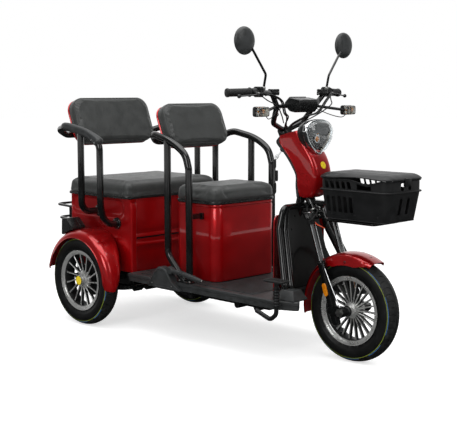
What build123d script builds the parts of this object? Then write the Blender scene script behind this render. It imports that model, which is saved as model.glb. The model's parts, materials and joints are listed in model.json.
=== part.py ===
"""Electric tricycle with two bench seats, as an assembly of its real pieces.

+X forward, +Y to the driver's left, +Z up, in millimetres. The origin is on the
floor below the middle of the overall box. Rear pieces are placed from the rear
axle, front ones from the front axle and the raked steering axis.
"""
from build123d import *
from math import cos, radians, sin, tan
import os

os.makedirs("parts", exist_ok=True)

# ---- driving dimensions ----
WHEELBASE = 1290.0
REAR_AXLE_X = -552.5
REAR_TRACK = 682.0
TYRE_R = 207.5
TYRE_W = 80.0
BEAD_R = 128.0
FLANGE_R = 139.5
RIM_W = 70.0
AXLE_R = 12.0
RUNNING = 0.05
SEAT_GAP = 0.3

RAKE = 28.0
FORK_OFFSET = 5.0
FORK_HALF_W = 70.0
STANCHION_R = 13.0
SLIDER_R = 18.0
STEM_R = 16.0
HEAD_TUBE_R = 21.0

DECK_RISE = 54.5
DECK_DEPTH = 37.0
DECK_HALF_W = 292.0
RAIL_HALF_SPAN = 150.0
RAIL_SIZE = 40.0

FRONT_SEAT_AHEAD = 573.0
FRONT_BOX_L = 261.0
FRONT_BOX_HALF_W = 187.0
FRONT_BOX_H = 331.0
SHELL_T = 4.0
FRONT_CUSHION_T = 76.0
FRONT_CUSHION_HALF_W = 196.0

BODY_BACK = 215.0
BODY_FRONT = 230.0
BODY_HALF_W = 262.0
BODY_H = 328.0
REAR_CUSHION_T = 78.0
REAR_CUSHION_HALF_W = 290.0
FENDER_GAP = 26.5
FENDER_T = 4.0
FENDER_OUT = 398.0
FRONT_FENDER_HALF_W = 51.5

SEAT_TUBE_R = 15.5
FRONT_ARM_Y = 260.0
REAR_ARM_Y = 365.0
GUARD_TUBE_R = 13.0
BAR_TUBE_R = 11.0
GRIP_R = 16.0
RACK_TUBE_R = 6.0

FRONT_BACK_HALF_W = 181.0
FRONT_BACK_H = 193.0
REAR_BACK_HALF_W = 232.0
REAR_BACK_H = 222.0
BACK_PAD_T = 52.0
BACK_SHELL_T = 16.0

# ---- places worked out from them ----
FRONT_AXLE_X = REAR_AXLE_X + WHEELBASE
FRONT_SEAT_X = REAR_AXLE_X + FRONT_SEAT_AHEAD
DECK_TOP = TYRE_R + DECK_RISE
FRONT_BOX_TOP = DECK_TOP + FRONT_BOX_H
BODY_TOP = DECK_TOP + BODY_H
FENDER_R = TYRE_R + FENDER_GAP
SIDES = {"right": -1, "left": 1}
RAKE_SIN = sin(radians(RAKE))
RAKE_COS = cos(radians(RAKE))


def up(rise):
    """A height counted from the deck's top."""
    return DECK_TOP + rise


def fx(offset):
    """A place along X counted from the front axle."""
    return FRONT_AXLE_X + offset


def steer_x(height):
    """Where the raked steering axis stands at a height."""
    foot = FRONT_AXLE_X - FORK_OFFSET / RAKE_COS
    return foot - (height - TYRE_R) * tan(radians(RAKE))


def head(forward, rise):
    """A side-view place by the column: ahead of the steering axis, above the deck."""
    return (steer_x(up(rise)) + forward, up(rise))


def head_at(forward, across, rise):
    """The same place, moved across."""
    place_x, place_z = head(forward, rise)
    return (place_x, across, place_z)


def steer_point(height, forward=0.0, across=0.0):
    """A point at a height on the steering axis, moved square to it and across."""
    return (steer_x(height) + forward * RAKE_COS, across, height + forward * RAKE_SIN)


def steer_plane(height, forward=0.0, across=0.0):
    """A plane square to the steering axis; its local x runs forward."""
    return Plane(
        origin=steer_point(height, forward, across),
        x_dir=(RAKE_COS, 0, RAKE_SIN),
        z_dir=(-RAKE_SIN, 0, RAKE_COS),
    )


def wheel_section(axle_x, across=0.0, turn=0.0):
    """A wheel's section: local x along the axle, local y up, or turned forward."""
    return Plane(origin=(axle_x, across, TYRE_R), x_dir=(0, 1, 0),
                 z_dir=(cos(radians(turn)), 0, -sin(radians(turn))))


def wheel_face(axle_x, across=0.0):
    """The plane of a wheel's side: local x forward, its normal along +Y."""
    return Plane(origin=(axle_x, across, TYRE_R), x_dir=(1, 0, 0), z_dir=(0, 1, 0))


def wheel_axis(axle_x, across=0.0):
    """The axis that a wheel turns about."""
    return Axis((axle_x, across, TYRE_R), (0, 1, 0))


def block(x_span, y_span, z_span, mode=Mode.ADD):
    """A box between two limits on each axis, in the open part."""
    spans = (x_span, y_span, z_span)
    with Locations(tuple((low + high) / 2 for low, high in spans)):
        Box(*(high - low for low, high in spans), mode=mode)


def bar(points, radius, bend, mode=Mode.ADD):
    """A round bar with tangent bends along its corner points, in the open part."""
    with BuildLine() as route:
        if len(points) > 2:
            FilletPolyline(*points, radius=bend)
        else:
            Line(*points)
    with BuildSketch(Plane(origin=route.line @ 0, z_dir=route.line % 0)) as section:
        Circle(radius)
    sweep(section.sketch, path=route.line, mode=mode)


def rod(start, end, radius, mode=Mode.ADD):
    """A straight round bar, in the open part."""
    bar([start, end], radius, 0.0, mode)


def on_side(points, side):
    """Corner points given for the left, moved to a side."""
    return [(x, side * y, z) for x, y, z in points]


def between(start, end, share):
    """A point part of the way from one point to another."""
    return tuple(a + share * (b - a) for a, b in zip(start, end))


# ---- wheels ----
def tyre_body(axle_x, across):
    """A closed tyre: round crown, bulged walls, and beads inside the rim flanges."""
    bead = RIM_W / 2 - 5.3
    shoulder = TYRE_W * 0.42
    with BuildPart() as tyre:
        with BuildSketch(wheel_section(axle_x, across)):
            with BuildLine():
                Polyline((bead, FLANGE_R + 1), (bead, BEAD_R + SEAT_GAP),
                         (-bead, BEAD_R + SEAT_GAP), (-bead, FLANGE_R + 1))
                ThreePointArc((-bead, FLANGE_R + 1), (-TYRE_W / 2, FLANGE_R + 31),
                              (-shoulder, TYRE_R - 12))
                ThreePointArc((-shoulder, TYRE_R - 12), (0, TYRE_R), (shoulder, TYRE_R - 12))
                ThreePointArc((shoulder, TYRE_R - 12), (TYRE_W / 2, FLANGE_R + 31),
                              (bead, FLANGE_R + 1))
            make_face()
        revolve(axis=wheel_axis(axle_x, across))
    return tyre.part


def rim_body(axle_x, across, spokes, lean, hub_r, hub_half_l, axle_r):
    """A cast rim: flanged ring, thin spokes that lean, and a bored hub."""
    edge = RIM_W / 2
    well_r = BEAD_R - 9
    with BuildPart() as rim:
        with BuildSketch(wheel_section(axle_x, across)):
            Polygon(
                (-edge, FLANGE_R), (4 - edge, FLANGE_R), (5 - edge, BEAD_R),
                (18 - edge, well_r + 4), (edge - 18, well_r + 4), (edge - 5, BEAD_R),
                (edge - 4, FLANGE_R), (edge, FLANGE_R), (edge, FLANGE_R - 6),
                (edge - 6, well_r), (6 - edge, well_r), (-edge, FLANGE_R - 6),
                align=None,
            )
        revolve(axis=wheel_axis(axle_x, across))
        reach = well_r + 2 - hub_r
        with BuildSketch(wheel_face(axle_x, across)):
            with PolarLocations(hub_r + reach / 2 - 2, spokes):
                Rectangle(reach + 4, 5.5, rotation=lean)
        extrude(amount=9, both=True)
        with BuildSketch(wheel_face(axle_x, across)):
            Circle(hub_r)
        extrude(amount=hub_half_l, both=True)
        with BuildSketch(wheel_face(axle_x, across)):
            Circle(axle_r + RUNNING)
        extrude(amount=hub_half_l, both=True, mode=Mode.SUBTRACT)
    return rim.part


FRONT_HUB_HALF_L = 44.0
REAR_HUB_HALF_L = 34.0

with BuildPart() as front_tyre:
    add(tyre_body(FRONT_AXLE_X, 0.0))
front_tyre.part.label = "front_tyre"
export_step(front_tyre.part, "parts/front_tyre.step")

with BuildPart() as front_rim:
    add(rim_body(FRONT_AXLE_X, 0.0, 20, 0.0, 30.0, FRONT_HUB_HALF_L, AXLE_R))
front_rim.part.label = "front_rim"
export_step(front_rim.part, "parts/front_rim.step")

for side_name, side in SIDES.items():
    across = side * REAR_TRACK / 2
    with BuildPart() as rear_tyre:
        add(tyre_body(REAR_AXLE_X, across))
    rear_tyre.part.label = f"rear_tyre_{side_name}"
    export_step(rear_tyre.part, f"parts/rear_tyre_{side_name}.step")

    with BuildPart() as rear_rim:
        add(rim_body(REAR_AXLE_X, across, 15, 10.0, 34.0, REAR_HUB_HALF_L, AXLE_R))
    rear_rim.part.label = f"rear_rim_{side_name}"
    export_step(rear_rim.part, f"parts/rear_rim_{side_name}.step")

# ---- rear axle and springs ----
SPRING_Y = 225.0
SPRING_W = 40.0
SPRING_ENDS = (-195.0, 231.0)
SPRING_EYE_R = 16.0
AXLE_TUBE_R = 26.0
DRUM_GAP = 4.0

with BuildPart() as rear_axle:
    wheel_inside = REAR_TRACK / 2 - REAR_HUB_HALF_L - DRUM_GAP
    with BuildSketch(wheel_face(REAR_AXLE_X)):
        Circle(AXLE_TUBE_R)
    extrude(amount=wheel_inside, both=True)
    with BuildSketch(wheel_face(REAR_AXLE_X)):
        Circle(AXLE_R)
    extrude(amount=REAR_TRACK / 2 + REAR_HUB_HALF_L + 8, both=True)
    with BuildSketch(wheel_face(REAR_AXLE_X, 40)):
        Circle(88)
    extrude(amount=62, both=True)
    with BuildSketch(wheel_face(REAR_AXLE_X, -70)):
        Circle(66)
    extrude(amount=50, both=True)
    for side in SIDES.values():
        with BuildSketch(wheel_face(REAR_AXLE_X, side * (wheel_inside - 14))):
            Circle(78)
        extrude(amount=14, both=True)
rear_axle.part.label = "rear_axle"
export_step(rear_axle.part, "parts/rear_axle.step")

RAIL_TOP = DECK_TOP - DECK_DEPTH
SPRING_EYE_Z = up(-76)
SPRING_TOP_Z = TYRE_R - AXLE_TUBE_R - SEAT_GAP
with BuildPart() as rear_springs:
    back_x, front_x = (REAR_AXLE_X + end for end in SPRING_ENDS)
    for side in SIDES.values():
        spring_side = Plane.XZ.offset(SPRING_W / 2 - side * SPRING_Y)
        with BuildSketch(spring_side) as leaves:
            with BuildLine():
                under = ThreePointArc((back_x, SPRING_EYE_Z - 6), (REAR_AXLE_X, SPRING_TOP_Z - 26),
                                      (front_x, SPRING_EYE_Z - 6))
                over = ThreePointArc((back_x, SPRING_EYE_Z + 6), (REAR_AXLE_X, SPRING_TOP_Z),
                                     (front_x, SPRING_EYE_Z + 6))
                Line(under @ 0, over @ 0)
                Line(under @ 1, over @ 1)
            make_face()
            with Locations((back_x, SPRING_EYE_Z), (front_x, SPRING_EYE_Z)):
                Circle(SPRING_EYE_R)
        extrude(leaves.sketch, amount=-SPRING_W)
rear_springs.part.label = "rear_springs"
export_step(rear_springs.part, "parts/rear_springs.step")

# ---- main frame ----
NECK_LOW_Z = up(350)
NECK_HIGH_Z = up(610)
NECK_TUBE_R = 18.0
WHEEL_ROOM = FENDER_R + 24.0
NECK_TUBE_X = FRONT_AXLE_X - WHEEL_ROOM - 51.0
SUBFRAME_R = 14.0
BODY_FLOOR_Z = up(79)
SUBFRAME_Z = BODY_FLOOR_Z - SUBFRAME_R - SEAT_GAP
CROSS_Z = RAIL_TOP - RAIL_SIZE / 2
NECK_ROUTE = [(NECK_TUBE_X, 0, CROSS_Z), (NECK_TUBE_X, 0, up(258)), head_at(-4, 0, 428)]
with BuildPart() as main_frame:
    for side in SIDES.values():
        middle = side * RAIL_HALF_SPAN
        block((REAR_AXLE_X + 140, NECK_TUBE_X + 9),
              (middle - RAIL_SIZE / 2, middle + RAIL_SIZE / 2),
              (RAIL_TOP - RAIL_SIZE - SEAT_GAP, RAIL_TOP - SEAT_GAP))
        bar([(REAR_AXLE_X + 160, middle, CROSS_Z), (REAR_AXLE_X + 140, middle, SUBFRAME_Z),
             (REAR_AXLE_X - 200, middle, SUBFRAME_Z)], SUBFRAME_R, 16)
        back_x, front_x = (REAR_AXLE_X + end for end in SPRING_ENDS)
        rod((back_x, side * SPRING_Y, SPRING_EYE_Z + SPRING_EYE_R + SEAT_GAP),
            (back_x, side * SPRING_Y, SUBFRAME_Z), 12)
        rod((front_x, middle, SPRING_EYE_Z + 2),
            (front_x, side * (SPRING_Y - SPRING_W / 2 - SEAT_GAP), SPRING_EYE_Z + 2), 12)
    rod((back_x, -SPRING_Y - 16, SUBFRAME_Z), (back_x, SPRING_Y + 16, SUBFRAME_Z),
        SUBFRAME_R - 1)
    for share in (0.12, 0.5, 0.86):
        cross_x = REAR_AXLE_X + 231 + share * (WHEELBASE - 530)
        rod((cross_x, 40 - DECK_HALF_W, CROSS_Z), (cross_x, DECK_HALF_W - 40, CROSS_Z), 14)
    rod((NECK_TUBE_X, -240, CROSS_Z), (NECK_TUBE_X, 240, CROSS_Z), 14)
    bar(NECK_ROUTE, NECK_TUBE_R, 60)
    with BuildSketch(steer_plane(NECK_LOW_Z)) as head_tube:
        Circle(HEAD_TUBE_R)
    extrude(head_tube.sketch, amount=(NECK_HIGH_Z - NECK_LOW_Z) / RAKE_COS)
    with BuildSketch(steer_plane(NECK_LOW_Z - 10)) as head_bore:
        Circle(STEM_R + RUNNING)
    extrude(head_bore.sketch, amount=(NECK_HIGH_Z - NECK_LOW_Z + 20) / RAKE_COS,
            mode=Mode.SUBTRACT)
main_frame.part.label = "main_frame"
export_step(main_frame.part, "parts/main_frame.step")

# ---- deck ----
COLUMN_FRONT_X = REAR_AXLE_X + BODY_FRONT + 10
DECK_BACK_X = COLUMN_FRONT_X + 4
DECK_FRONT_X = FRONT_AXLE_X - 156.0
TREAD_EDGE = 30.0
TREAD_H = 2.0
with BuildPart() as floor_deck:
    with BuildSketch(Plane.XY.offset(DECK_TOP - DECK_DEPTH)):
        with BuildLine():
            outline = [
                (DECK_BACK_X, -DECK_HALF_W), (DECK_FRONT_X, -DECK_HALF_W),
                (FRONT_AXLE_X - 74, -DECK_HALF_W + 42), (FRONT_AXLE_X - 116, -196),
                (FRONT_AXLE_X - WHEEL_ROOM + 18, -150), (FRONT_AXLE_X - WHEEL_ROOM, 0),
            ]
            Polyline(*outline, *[(x, -y) for x, y in reversed(outline[:-1])], close=True)
        make_face()
        fillet(vertices().group_by(Axis.X)[-1], radius=14)
    extrude(amount=DECK_DEPTH)
    fillet(faces().sort_by(Axis.Z)[-1].edges(), radius=5)
    rod((NECK_TUBE_X, 0, RAIL_TOP - 20), (NECK_TUBE_X, 0, DECK_TOP + 20),
        NECK_TUBE_R + SEAT_GAP, Mode.SUBTRACT)
    block((FRONT_SEAT_X + FRONT_BOX_L / 2 + 14, NECK_TUBE_X - 46),
          (TREAD_EDGE - DECK_HALF_W, DECK_HALF_W - TREAD_EDGE),
          (DECK_TOP - 2, DECK_TOP + TREAD_H))
floor_deck.part.label = "floor_deck"
export_step(floor_deck.part, "parts/floor_deck.step")
STAND_Z = DECK_TOP + SEAT_GAP

# ---- front seat ----
BOX_BACK_X = FRONT_SEAT_X - FRONT_BOX_L / 2
BOX_FRONT_X = FRONT_SEAT_X + FRONT_BOX_L / 2


def rounded_box(x_span, y_half, z_span, corner, mode=Mode.ADD):
    """An upright box with rounded vertical edges, centred on the middle plane."""
    middle = (x_span[0] + x_span[1]) / 2
    with BuildSketch(Plane.XY.offset(z_span[0])) as section:
        with Locations((middle, 0)):
            RectangleRounded(x_span[1] - x_span[0], 2 * y_half, corner)
    extrude(section.sketch, amount=z_span[1] - z_span[0], mode=mode)


with BuildPart() as front_seat_box:
    rounded_box((BOX_BACK_X, BOX_FRONT_X), FRONT_BOX_HALF_W, (STAND_Z, FRONT_BOX_TOP), 42)
    rounded_box((BOX_BACK_X + SHELL_T, BOX_FRONT_X - SHELL_T), FRONT_BOX_HALF_W - SHELL_T,
                (STAND_Z + SHELL_T, FRONT_BOX_TOP), 42 - SHELL_T, Mode.SUBTRACT)
front_seat_box.part.label = "front_seat_box"
export_step(front_seat_box.part, "parts/front_seat_box.step")

BATTERY_H = 175.0
with BuildPart() as battery_pack:
    block((BOX_BACK_X + 24, BOX_FRONT_X - 24), (-150, 150),
          (STAND_Z + SHELL_T, STAND_Z + SHELL_T + BATTERY_H))
battery_pack.part.label = "battery_pack"
export_step(battery_pack.part, "parts/battery_pack.step")


def cushion_body(x_span, y_half, z_low, thick, corner, edge):
    """A plain closed bench cushion with a rounded top edge and a straight base."""
    with BuildPart() as cushion:
        rounded_box(x_span, y_half, (z_low, z_low + thick), corner)
        fillet(cushion.faces().sort_by(Axis.Z)[-1].edges(), radius=edge)
    return cushion.part


with BuildPart() as front_seat_cushion:
    add(cushion_body((BOX_BACK_X, BOX_FRONT_X + 2), FRONT_CUSHION_HALF_W,
                     FRONT_BOX_TOP + SEAT_GAP, FRONT_CUSHION_T, 45, 24))
front_seat_cushion.part.label = "front_seat_cushion"
export_step(front_seat_cushion.part, "parts/front_seat_cushion.step")


def lean_plane(face_x, face_z, lean):
    """A backrest's front face: local x across, local y up the lean, normal forward."""
    return Plane(origin=(face_x, 0, face_z), x_dir=(0, 1, 0),
                 z_dir=(cos(radians(lean)), 0, sin(radians(lean))))


def backrest_pad(face, half_w, height, thick, corner):
    """A closed backrest cushion with a rounded front edge."""
    with BuildPart() as pad:
        with BuildSketch(face):
            RectangleRounded(2 * half_w, height, corner)
        extrude(amount=-thick)
        front = pad.faces().filter_by(face).sort_by(Axis.X)[-1]
        fillet(front.edges(), radius=18)
    return pad.part


def backrest_shell(face, half_w, height, pad_t, shell_t, corner):
    """The hard back of a backrest, with a lip that narrows to the rear."""
    with BuildPart() as shell:
        with BuildSketch(face.offset(-pad_t - SEAT_GAP)):
            RectangleRounded(2 * half_w - 6, height - 6, corner - 3)
        extrude(amount=-shell_t)
        back = shell.faces().filter_by(face).sort_by(Axis.X)[0]
        fillet(back.edges(), radius=shell_t - 3)
    return shell.part


FRONT_BACK_LEAN = 22.0
REAR_BACK_LEAN = 20.6
FRONT_BACK_FACE = lean_plane(FRONT_SEAT_X - 180, up(668), FRONT_BACK_LEAN)
REAR_BACK_FACE = lean_plane(REAR_AXLE_X - 183, up(676), REAR_BACK_LEAN)

with BuildPart() as front_backrest_pad:
    add(backrest_pad(FRONT_BACK_FACE, FRONT_BACK_HALF_W, FRONT_BACK_H, BACK_PAD_T, 50))
front_backrest_pad.part.label = "front_backrest_pad"
export_step(front_backrest_pad.part, "parts/front_backrest_pad.step")

with BuildPart() as front_backrest_shell:
    add(backrest_shell(FRONT_BACK_FACE, FRONT_BACK_HALF_W, FRONT_BACK_H,
                       BACK_PAD_T, BACK_SHELL_T, 50))
front_backrest_shell.part.label = "front_backrest_shell"
export_step(front_backrest_shell.part, "parts/front_backrest_shell.step")

with BuildPart() as rear_backrest_pad:
    add(backrest_pad(REAR_BACK_FACE, REAR_BACK_HALF_W, REAR_BACK_H, BACK_PAD_T, 56))
rear_backrest_pad.part.label = "rear_backrest_pad"
export_step(rear_backrest_pad.part, "parts/rear_backrest_pad.step")

with BuildPart() as rear_backrest_shell:
    add(backrest_shell(REAR_BACK_FACE, REAR_BACK_HALF_W, REAR_BACK_H,
                       BACK_PAD_T, BACK_SHELL_T, 56))
rear_backrest_shell.part.label = "rear_backrest_shell"
export_step(rear_backrest_shell.part, "parts/rear_backrest_shell.step")


def behind_backrest(face, up):
    """Where a tube's centre lies against the back of a backrest shell."""
    depth = BACK_PAD_T + BACK_SHELL_T + 2 * SEAT_GAP + SEAT_TUBE_R
    return face.from_local_coords(Vector(0, up, -depth))


front_loop = behind_backrest(FRONT_BACK_FACE, -52)
with BuildPart() as front_seat_frame:
    foot_z = STAND_Z
    for side in SIDES.values():
        bar(on_side([
            (FRONT_SEAT_X + 42, FRONT_ARM_Y, foot_z),
            (FRONT_SEAT_X + 38, FRONT_ARM_Y, up(484)),
            (FRONT_SEAT_X + 20, FRONT_ARM_Y, up(542)),
            (FRONT_SEAT_X - 26, FRONT_ARM_Y + 1, up(575)),
            (FRONT_SEAT_X - 87, FRONT_ARM_Y + 2, up(600)),
            (FRONT_SEAT_X - 206, FRONT_ARM_Y - 12, up(626)),
            (front_loop.X, FRONT_BACK_HALF_W + 16, front_loop.Z),
            (front_loop.X, 0, front_loop.Z),
        ], side), SEAT_TUBE_R, 42)
        bar(on_side([
            (FRONT_SEAT_X - 92, FRONT_ARM_Y + 2, up(598)),
            (FRONT_SEAT_X - 92, FRONT_ARM_Y + 2, up(110)),
            (FRONT_SEAT_X + 10, FRONT_ARM_Y, foot_z),
        ], side), SEAT_TUBE_R, 60)
        block((FRONT_SEAT_X - 14, FRONT_SEAT_X + 66),
              tuple(sorted((side * (FRONT_ARM_Y - 26), side * (FRONT_ARM_Y + 26)))),
              (foot_z, foot_z + 5))
        box_side = FRONT_BOX_HALF_W + SEAT_GAP
        block((FRONT_SEAT_X + 24, FRONT_SEAT_X + 50),
              tuple(sorted((side * (box_side + 8), side * (FRONT_ARM_Y - 2)))),
              (up(270), up(292)))
        block((FRONT_SEAT_X + 38, FRONT_SEAT_X + 56),
              tuple(sorted((side * box_side, side * (box_side + 12)))),
              (up(266), up(294)))
    block((FRONT_SEAT_X - 200, FRONT_SEAT_X + 200), (-DECK_HALF_W, DECK_HALF_W),
          (foot_z - 60, foot_z), Mode.SUBTRACT)
front_seat_frame.part.label = "front_seat_frame"
export_step(front_seat_frame.part, "parts/front_seat_frame.step")

# ---- rear body ----
BODY_BACK_X = REAR_AXLE_X - BODY_BACK
BODY_FRONT_X = REAR_AXLE_X + BODY_FRONT
BODY_LOW = DECK_TOP - 6
with BuildPart() as rear_body:
    rounded_box((BODY_BACK_X, BODY_FRONT_X), BODY_HALF_W, (BODY_LOW, BODY_TOP), 20)
    for side in SIDES.values():
        with BuildSketch(Plane.XZ.offset(-side * BODY_HALF_W)) as column:
            with Locations(((BODY_FRONT_X + COLUMN_FRONT_X) / 2 - 30, (BODY_LOW + BODY_TOP - 15) / 2)):
                RectangleRounded(COLUMN_FRONT_X - BODY_FRONT_X + 60, BODY_TOP - 15 - BODY_LOW, 30)
        extrude(column.sketch, amount=side * 32)
    inside = (BODY_BACK_X + SHELL_T, BODY_FRONT_X - SHELL_T)
    rounded_box(inside, BODY_HALF_W - SHELL_T, (BODY_FLOOR_Z + SHELL_T, BODY_TOP), 16,
                Mode.SUBTRACT)
    rounded_box(inside, BODY_HALF_W - SHELL_T, (BODY_LOW - 1, BODY_FLOOR_Z), 16, Mode.SUBTRACT)
rear_body.part.label = "rear_body"
export_step(rear_body.part, "parts/rear_body.step")

with BuildPart() as rear_seat_cushion:
    add(cushion_body((BODY_BACK_X + 7, BODY_FRONT_X + 14), REAR_CUSHION_HALF_W,
                     BODY_TOP + SEAT_GAP, REAR_CUSHION_T, 42, 26))
rear_seat_cushion.part.label = "rear_seat_cushion"
export_step(rear_seat_cushion.part, "parts/rear_seat_cushion.step")


def arch_body(axle_x, y_span, outer_r, skirt, wall, corner, start, arc):
    """A mudguard: an inverted channel turned part of the way round its wheel."""
    across = (y_span[0] + y_span[1]) / 2
    width = y_span[1] - y_span[0]
    with BuildPart() as guard:
        with BuildSketch(wheel_section(axle_x, across, start)):
            with Locations((0, outer_r - skirt)):
                RectangleRounded(width, 2 * skirt, corner)
                RectangleRounded(width - 2 * wall, 2 * (skirt - wall), corner - wall,
                                 mode=Mode.SUBTRACT)
            with Locations((0, outer_r - 1.5 * skirt)):
                Rectangle(width + 2, skirt, mode=Mode.SUBTRACT)
        revolve(axis=wheel_axis(axle_x, across), revolution_arc=arc)
    return guard.part


for side_name, side in SIDES.items():
    y_span = tuple(sorted((side * (BODY_HALF_W + SEAT_GAP), side * FENDER_OUT)))
    with BuildPart() as rear_fender:
        add(arch_body(REAR_AXLE_X, y_span, FENDER_R, 34, FENDER_T, 28, -80, 176))
    rear_fender.part.label = f"rear_fender_{side_name}"
    export_step(rear_fender.part, f"parts/rear_fender_{side_name}.step")

with BuildPart() as tail_lights:
    crown_z = TYRE_R + FENDER_R
    for side in SIDES.values():
        lamp_y = side * REAR_TRACK / 2
        with BuildSketch(Plane.XZ.offset(-lamp_y - 38)) as lamp:
            Polygon((REAR_AXLE_X - 150, crown_z - 41.5), (REAR_AXLE_X - 142, crown_z + 44.5),
                    (REAR_AXLE_X - 92, crown_z + 48.5), (REAR_AXLE_X - 24, crown_z + 4.5),
                    (REAR_AXLE_X - 24, crown_z - 41.5), align=None)
        extrude(lamp.sketch, amount=76)
    fillet(tail_lights.edges().filter_by(Axis.Y), radius=6)
    with BuildSketch(wheel_face(REAR_AXLE_X, -REAR_TRACK)) as fender_top:
        Circle(FENDER_R + SEAT_GAP)
    extrude(fender_top.sketch, amount=2 * REAR_TRACK, mode=Mode.SUBTRACT)
tail_lights.part.label = "tail_lights"
export_step(tail_lights.part, "parts/tail_lights.step")

# ---- rear seat frame ----
rear_loop = behind_backrest(REAR_BACK_FACE, -48)
ARM_LINE = [
    (REAR_AXLE_X + 144, REAR_ARM_Y - 3, up(588)),
    (REAR_AXLE_X + 60, REAR_ARM_Y, up(618)),
    (REAR_AXLE_X - 88, REAR_ARM_Y, up(646)),
]
with BuildPart() as rear_seat_frame:
    for side in SIDES.values():
        bar(on_side([
            (REAR_AXLE_X + 140, BODY_HALF_W + SEAT_GAP, up(212)),
            (REAR_AXLE_X + 140, REAR_ARM_Y - 57, up(212)),
            (REAR_AXLE_X + 141, REAR_ARM_Y - 22, up(238)),
            (REAR_AXLE_X + 144, REAR_ARM_Y - 6, up(280)),
            (REAR_AXLE_X + 144, REAR_ARM_Y - 3, up(330)),
            *ARM_LINE,
            (REAR_AXLE_X - 204, REAR_ARM_Y - 38, up(630)),
            (rear_loop.X, REAR_BACK_HALF_W + 18, rear_loop.Z),
            (rear_loop.X, 0, rear_loop.Z),
        ], side), SEAT_TUBE_R, 30)
        bar(on_side([
            (REAR_AXLE_X + 12, BODY_HALF_W + SEAT_GAP, up(262)),
            (REAR_AXLE_X + 12, REAR_ARM_Y, up(262)),
            (REAR_AXLE_X + 12, REAR_ARM_Y, up(626)),
        ], side), SEAT_TUBE_R, 84)
        for offset, height in ((140, up(212)), (12, up(262))):
            with BuildSketch(Plane.XZ.offset(-side * (BODY_HALF_W + SEAT_GAP))) as flange:
                with Locations((REAR_AXLE_X + offset, height)):
                    Circle(27)
            extrude(flange.sketch, amount=-side * 7)
rear_seat_frame.part.label = "rear_seat_frame"
export_step(rear_seat_frame.part, "parts/rear_seat_frame.step")

SLEEVE_R = 20.0
with BuildPart() as armrest_sleeves:
    for side in SIDES.values():
        bar(on_side([between(ARM_LINE[0], ARM_LINE[1], 0.42), ARM_LINE[1],
                     between(ARM_LINE[1], ARM_LINE[2], 0.93)], side), SLEEVE_R, 30)
        bar(on_side(ARM_LINE, side), SEAT_TUBE_R + SEAT_GAP, 30, Mode.SUBTRACT)
        rod(on_side([(REAR_AXLE_X + 12, REAR_ARM_Y, up(560))], side)[0],
            on_side([(REAR_AXLE_X + 12, REAR_ARM_Y, up(626))], side)[0],
            SEAT_TUBE_R + SEAT_GAP, Mode.SUBTRACT)
armrest_sleeves.part.label = "armrest_sleeves"
export_step(armrest_sleeves.part, "parts/armrest_sleeves.step")

# ---- rear rack ----
RACK_HALF_W = 205.0
with BuildPart() as rear_rack:
    for height, reach, narrow in ((up(254), 200, 0), (up(188), 196, 8), (up(132), 188, 14)):
        half = RACK_HALF_W - narrow
        tail_x = BODY_BACK_X - reach
        bar([(BODY_BACK_X, -half - 20, height), (tail_x, -half + 10, height),
             (tail_x, half - 10, height), (BODY_BACK_X, half + 20, height)], RACK_TUBE_R, 45)
    for row in range(5):
        rod((BODY_BACK_X - 195, -120 + 60 * row, up(254)),
            (BODY_BACK_X, -120 + 60 * row, up(254)), 4)
    for side in SIDES.values():
        block((BODY_BACK_X - 70, BODY_BACK_X - 40), tuple(sorted((side * 190, side * 215))),
              (up(126), up(260)))
    block((BODY_BACK_X - SEAT_GAP, BODY_BACK_X + 40), (-300, 300), (up(38), up(338)),
          Mode.SUBTRACT)
rear_rack.part.label = "rear_rack"
export_step(rear_rack.part, "parts/rear_rack.step")

with BuildPart() as rear_box:
    block((BODY_BACK_X - 36, BODY_BACK_X - SEAT_GAP), (-150, 150), (up(28), up(243)))
    fillet(rear_box.faces().sort_by(Axis.X)[0].edges(), radius=8)
rear_box.part.label = "rear_box"
export_step(rear_box.part, "parts/rear_box.step")

# ---- controls on the deck ----
BRAKE_LEVER_R = 11.0
BRAKE_LEVER_Y = -DECK_HALF_W - 4
BRAKE_LEVER_ROUTE = [(FRONT_SEAT_X - 66, BRAKE_LEVER_Y, up(40)),
                     (FRONT_SEAT_X + 10, BRAKE_LEVER_Y, up(44)),
                     (FRONT_SEAT_X + 150, BRAKE_LEVER_Y, up(24))]
with BuildPart() as handbrake_console:
    with BuildSketch(Plane.XZ.offset(DECK_HALF_W - 20)) as side_view:
        Polygon((FRONT_SEAT_X - 170, up(-34)), (FRONT_SEAT_X - 128, up(38)),
                (FRONT_SEAT_X - 100, up(58)), (FRONT_SEAT_X - 55, up(50)),
                (FRONT_SEAT_X - 20, up(0)), (FRONT_SEAT_X + 30, up(-34)), align=None)
    extrude(side_view.sketch, amount=42)
    block((FRONT_SEAT_X - 300, FRONT_SEAT_X + 100), (-DECK_HALF_W - SEAT_GAP, 0),
          (up(-62), STAND_Z), Mode.SUBTRACT)
    bar(BRAKE_LEVER_ROUTE, BRAKE_LEVER_R + SEAT_GAP, 60, Mode.SUBTRACT)
handbrake_console.part.label = "handbrake_console"
export_step(handbrake_console.part, "parts/handbrake_console.step")

with BuildPart() as handbrake_lever:
    bar(BRAKE_LEVER_ROUTE, BRAKE_LEVER_R, 60)
handbrake_lever.part.label = "handbrake_lever"
export_step(handbrake_lever.part, "parts/handbrake_lever.step")

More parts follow.
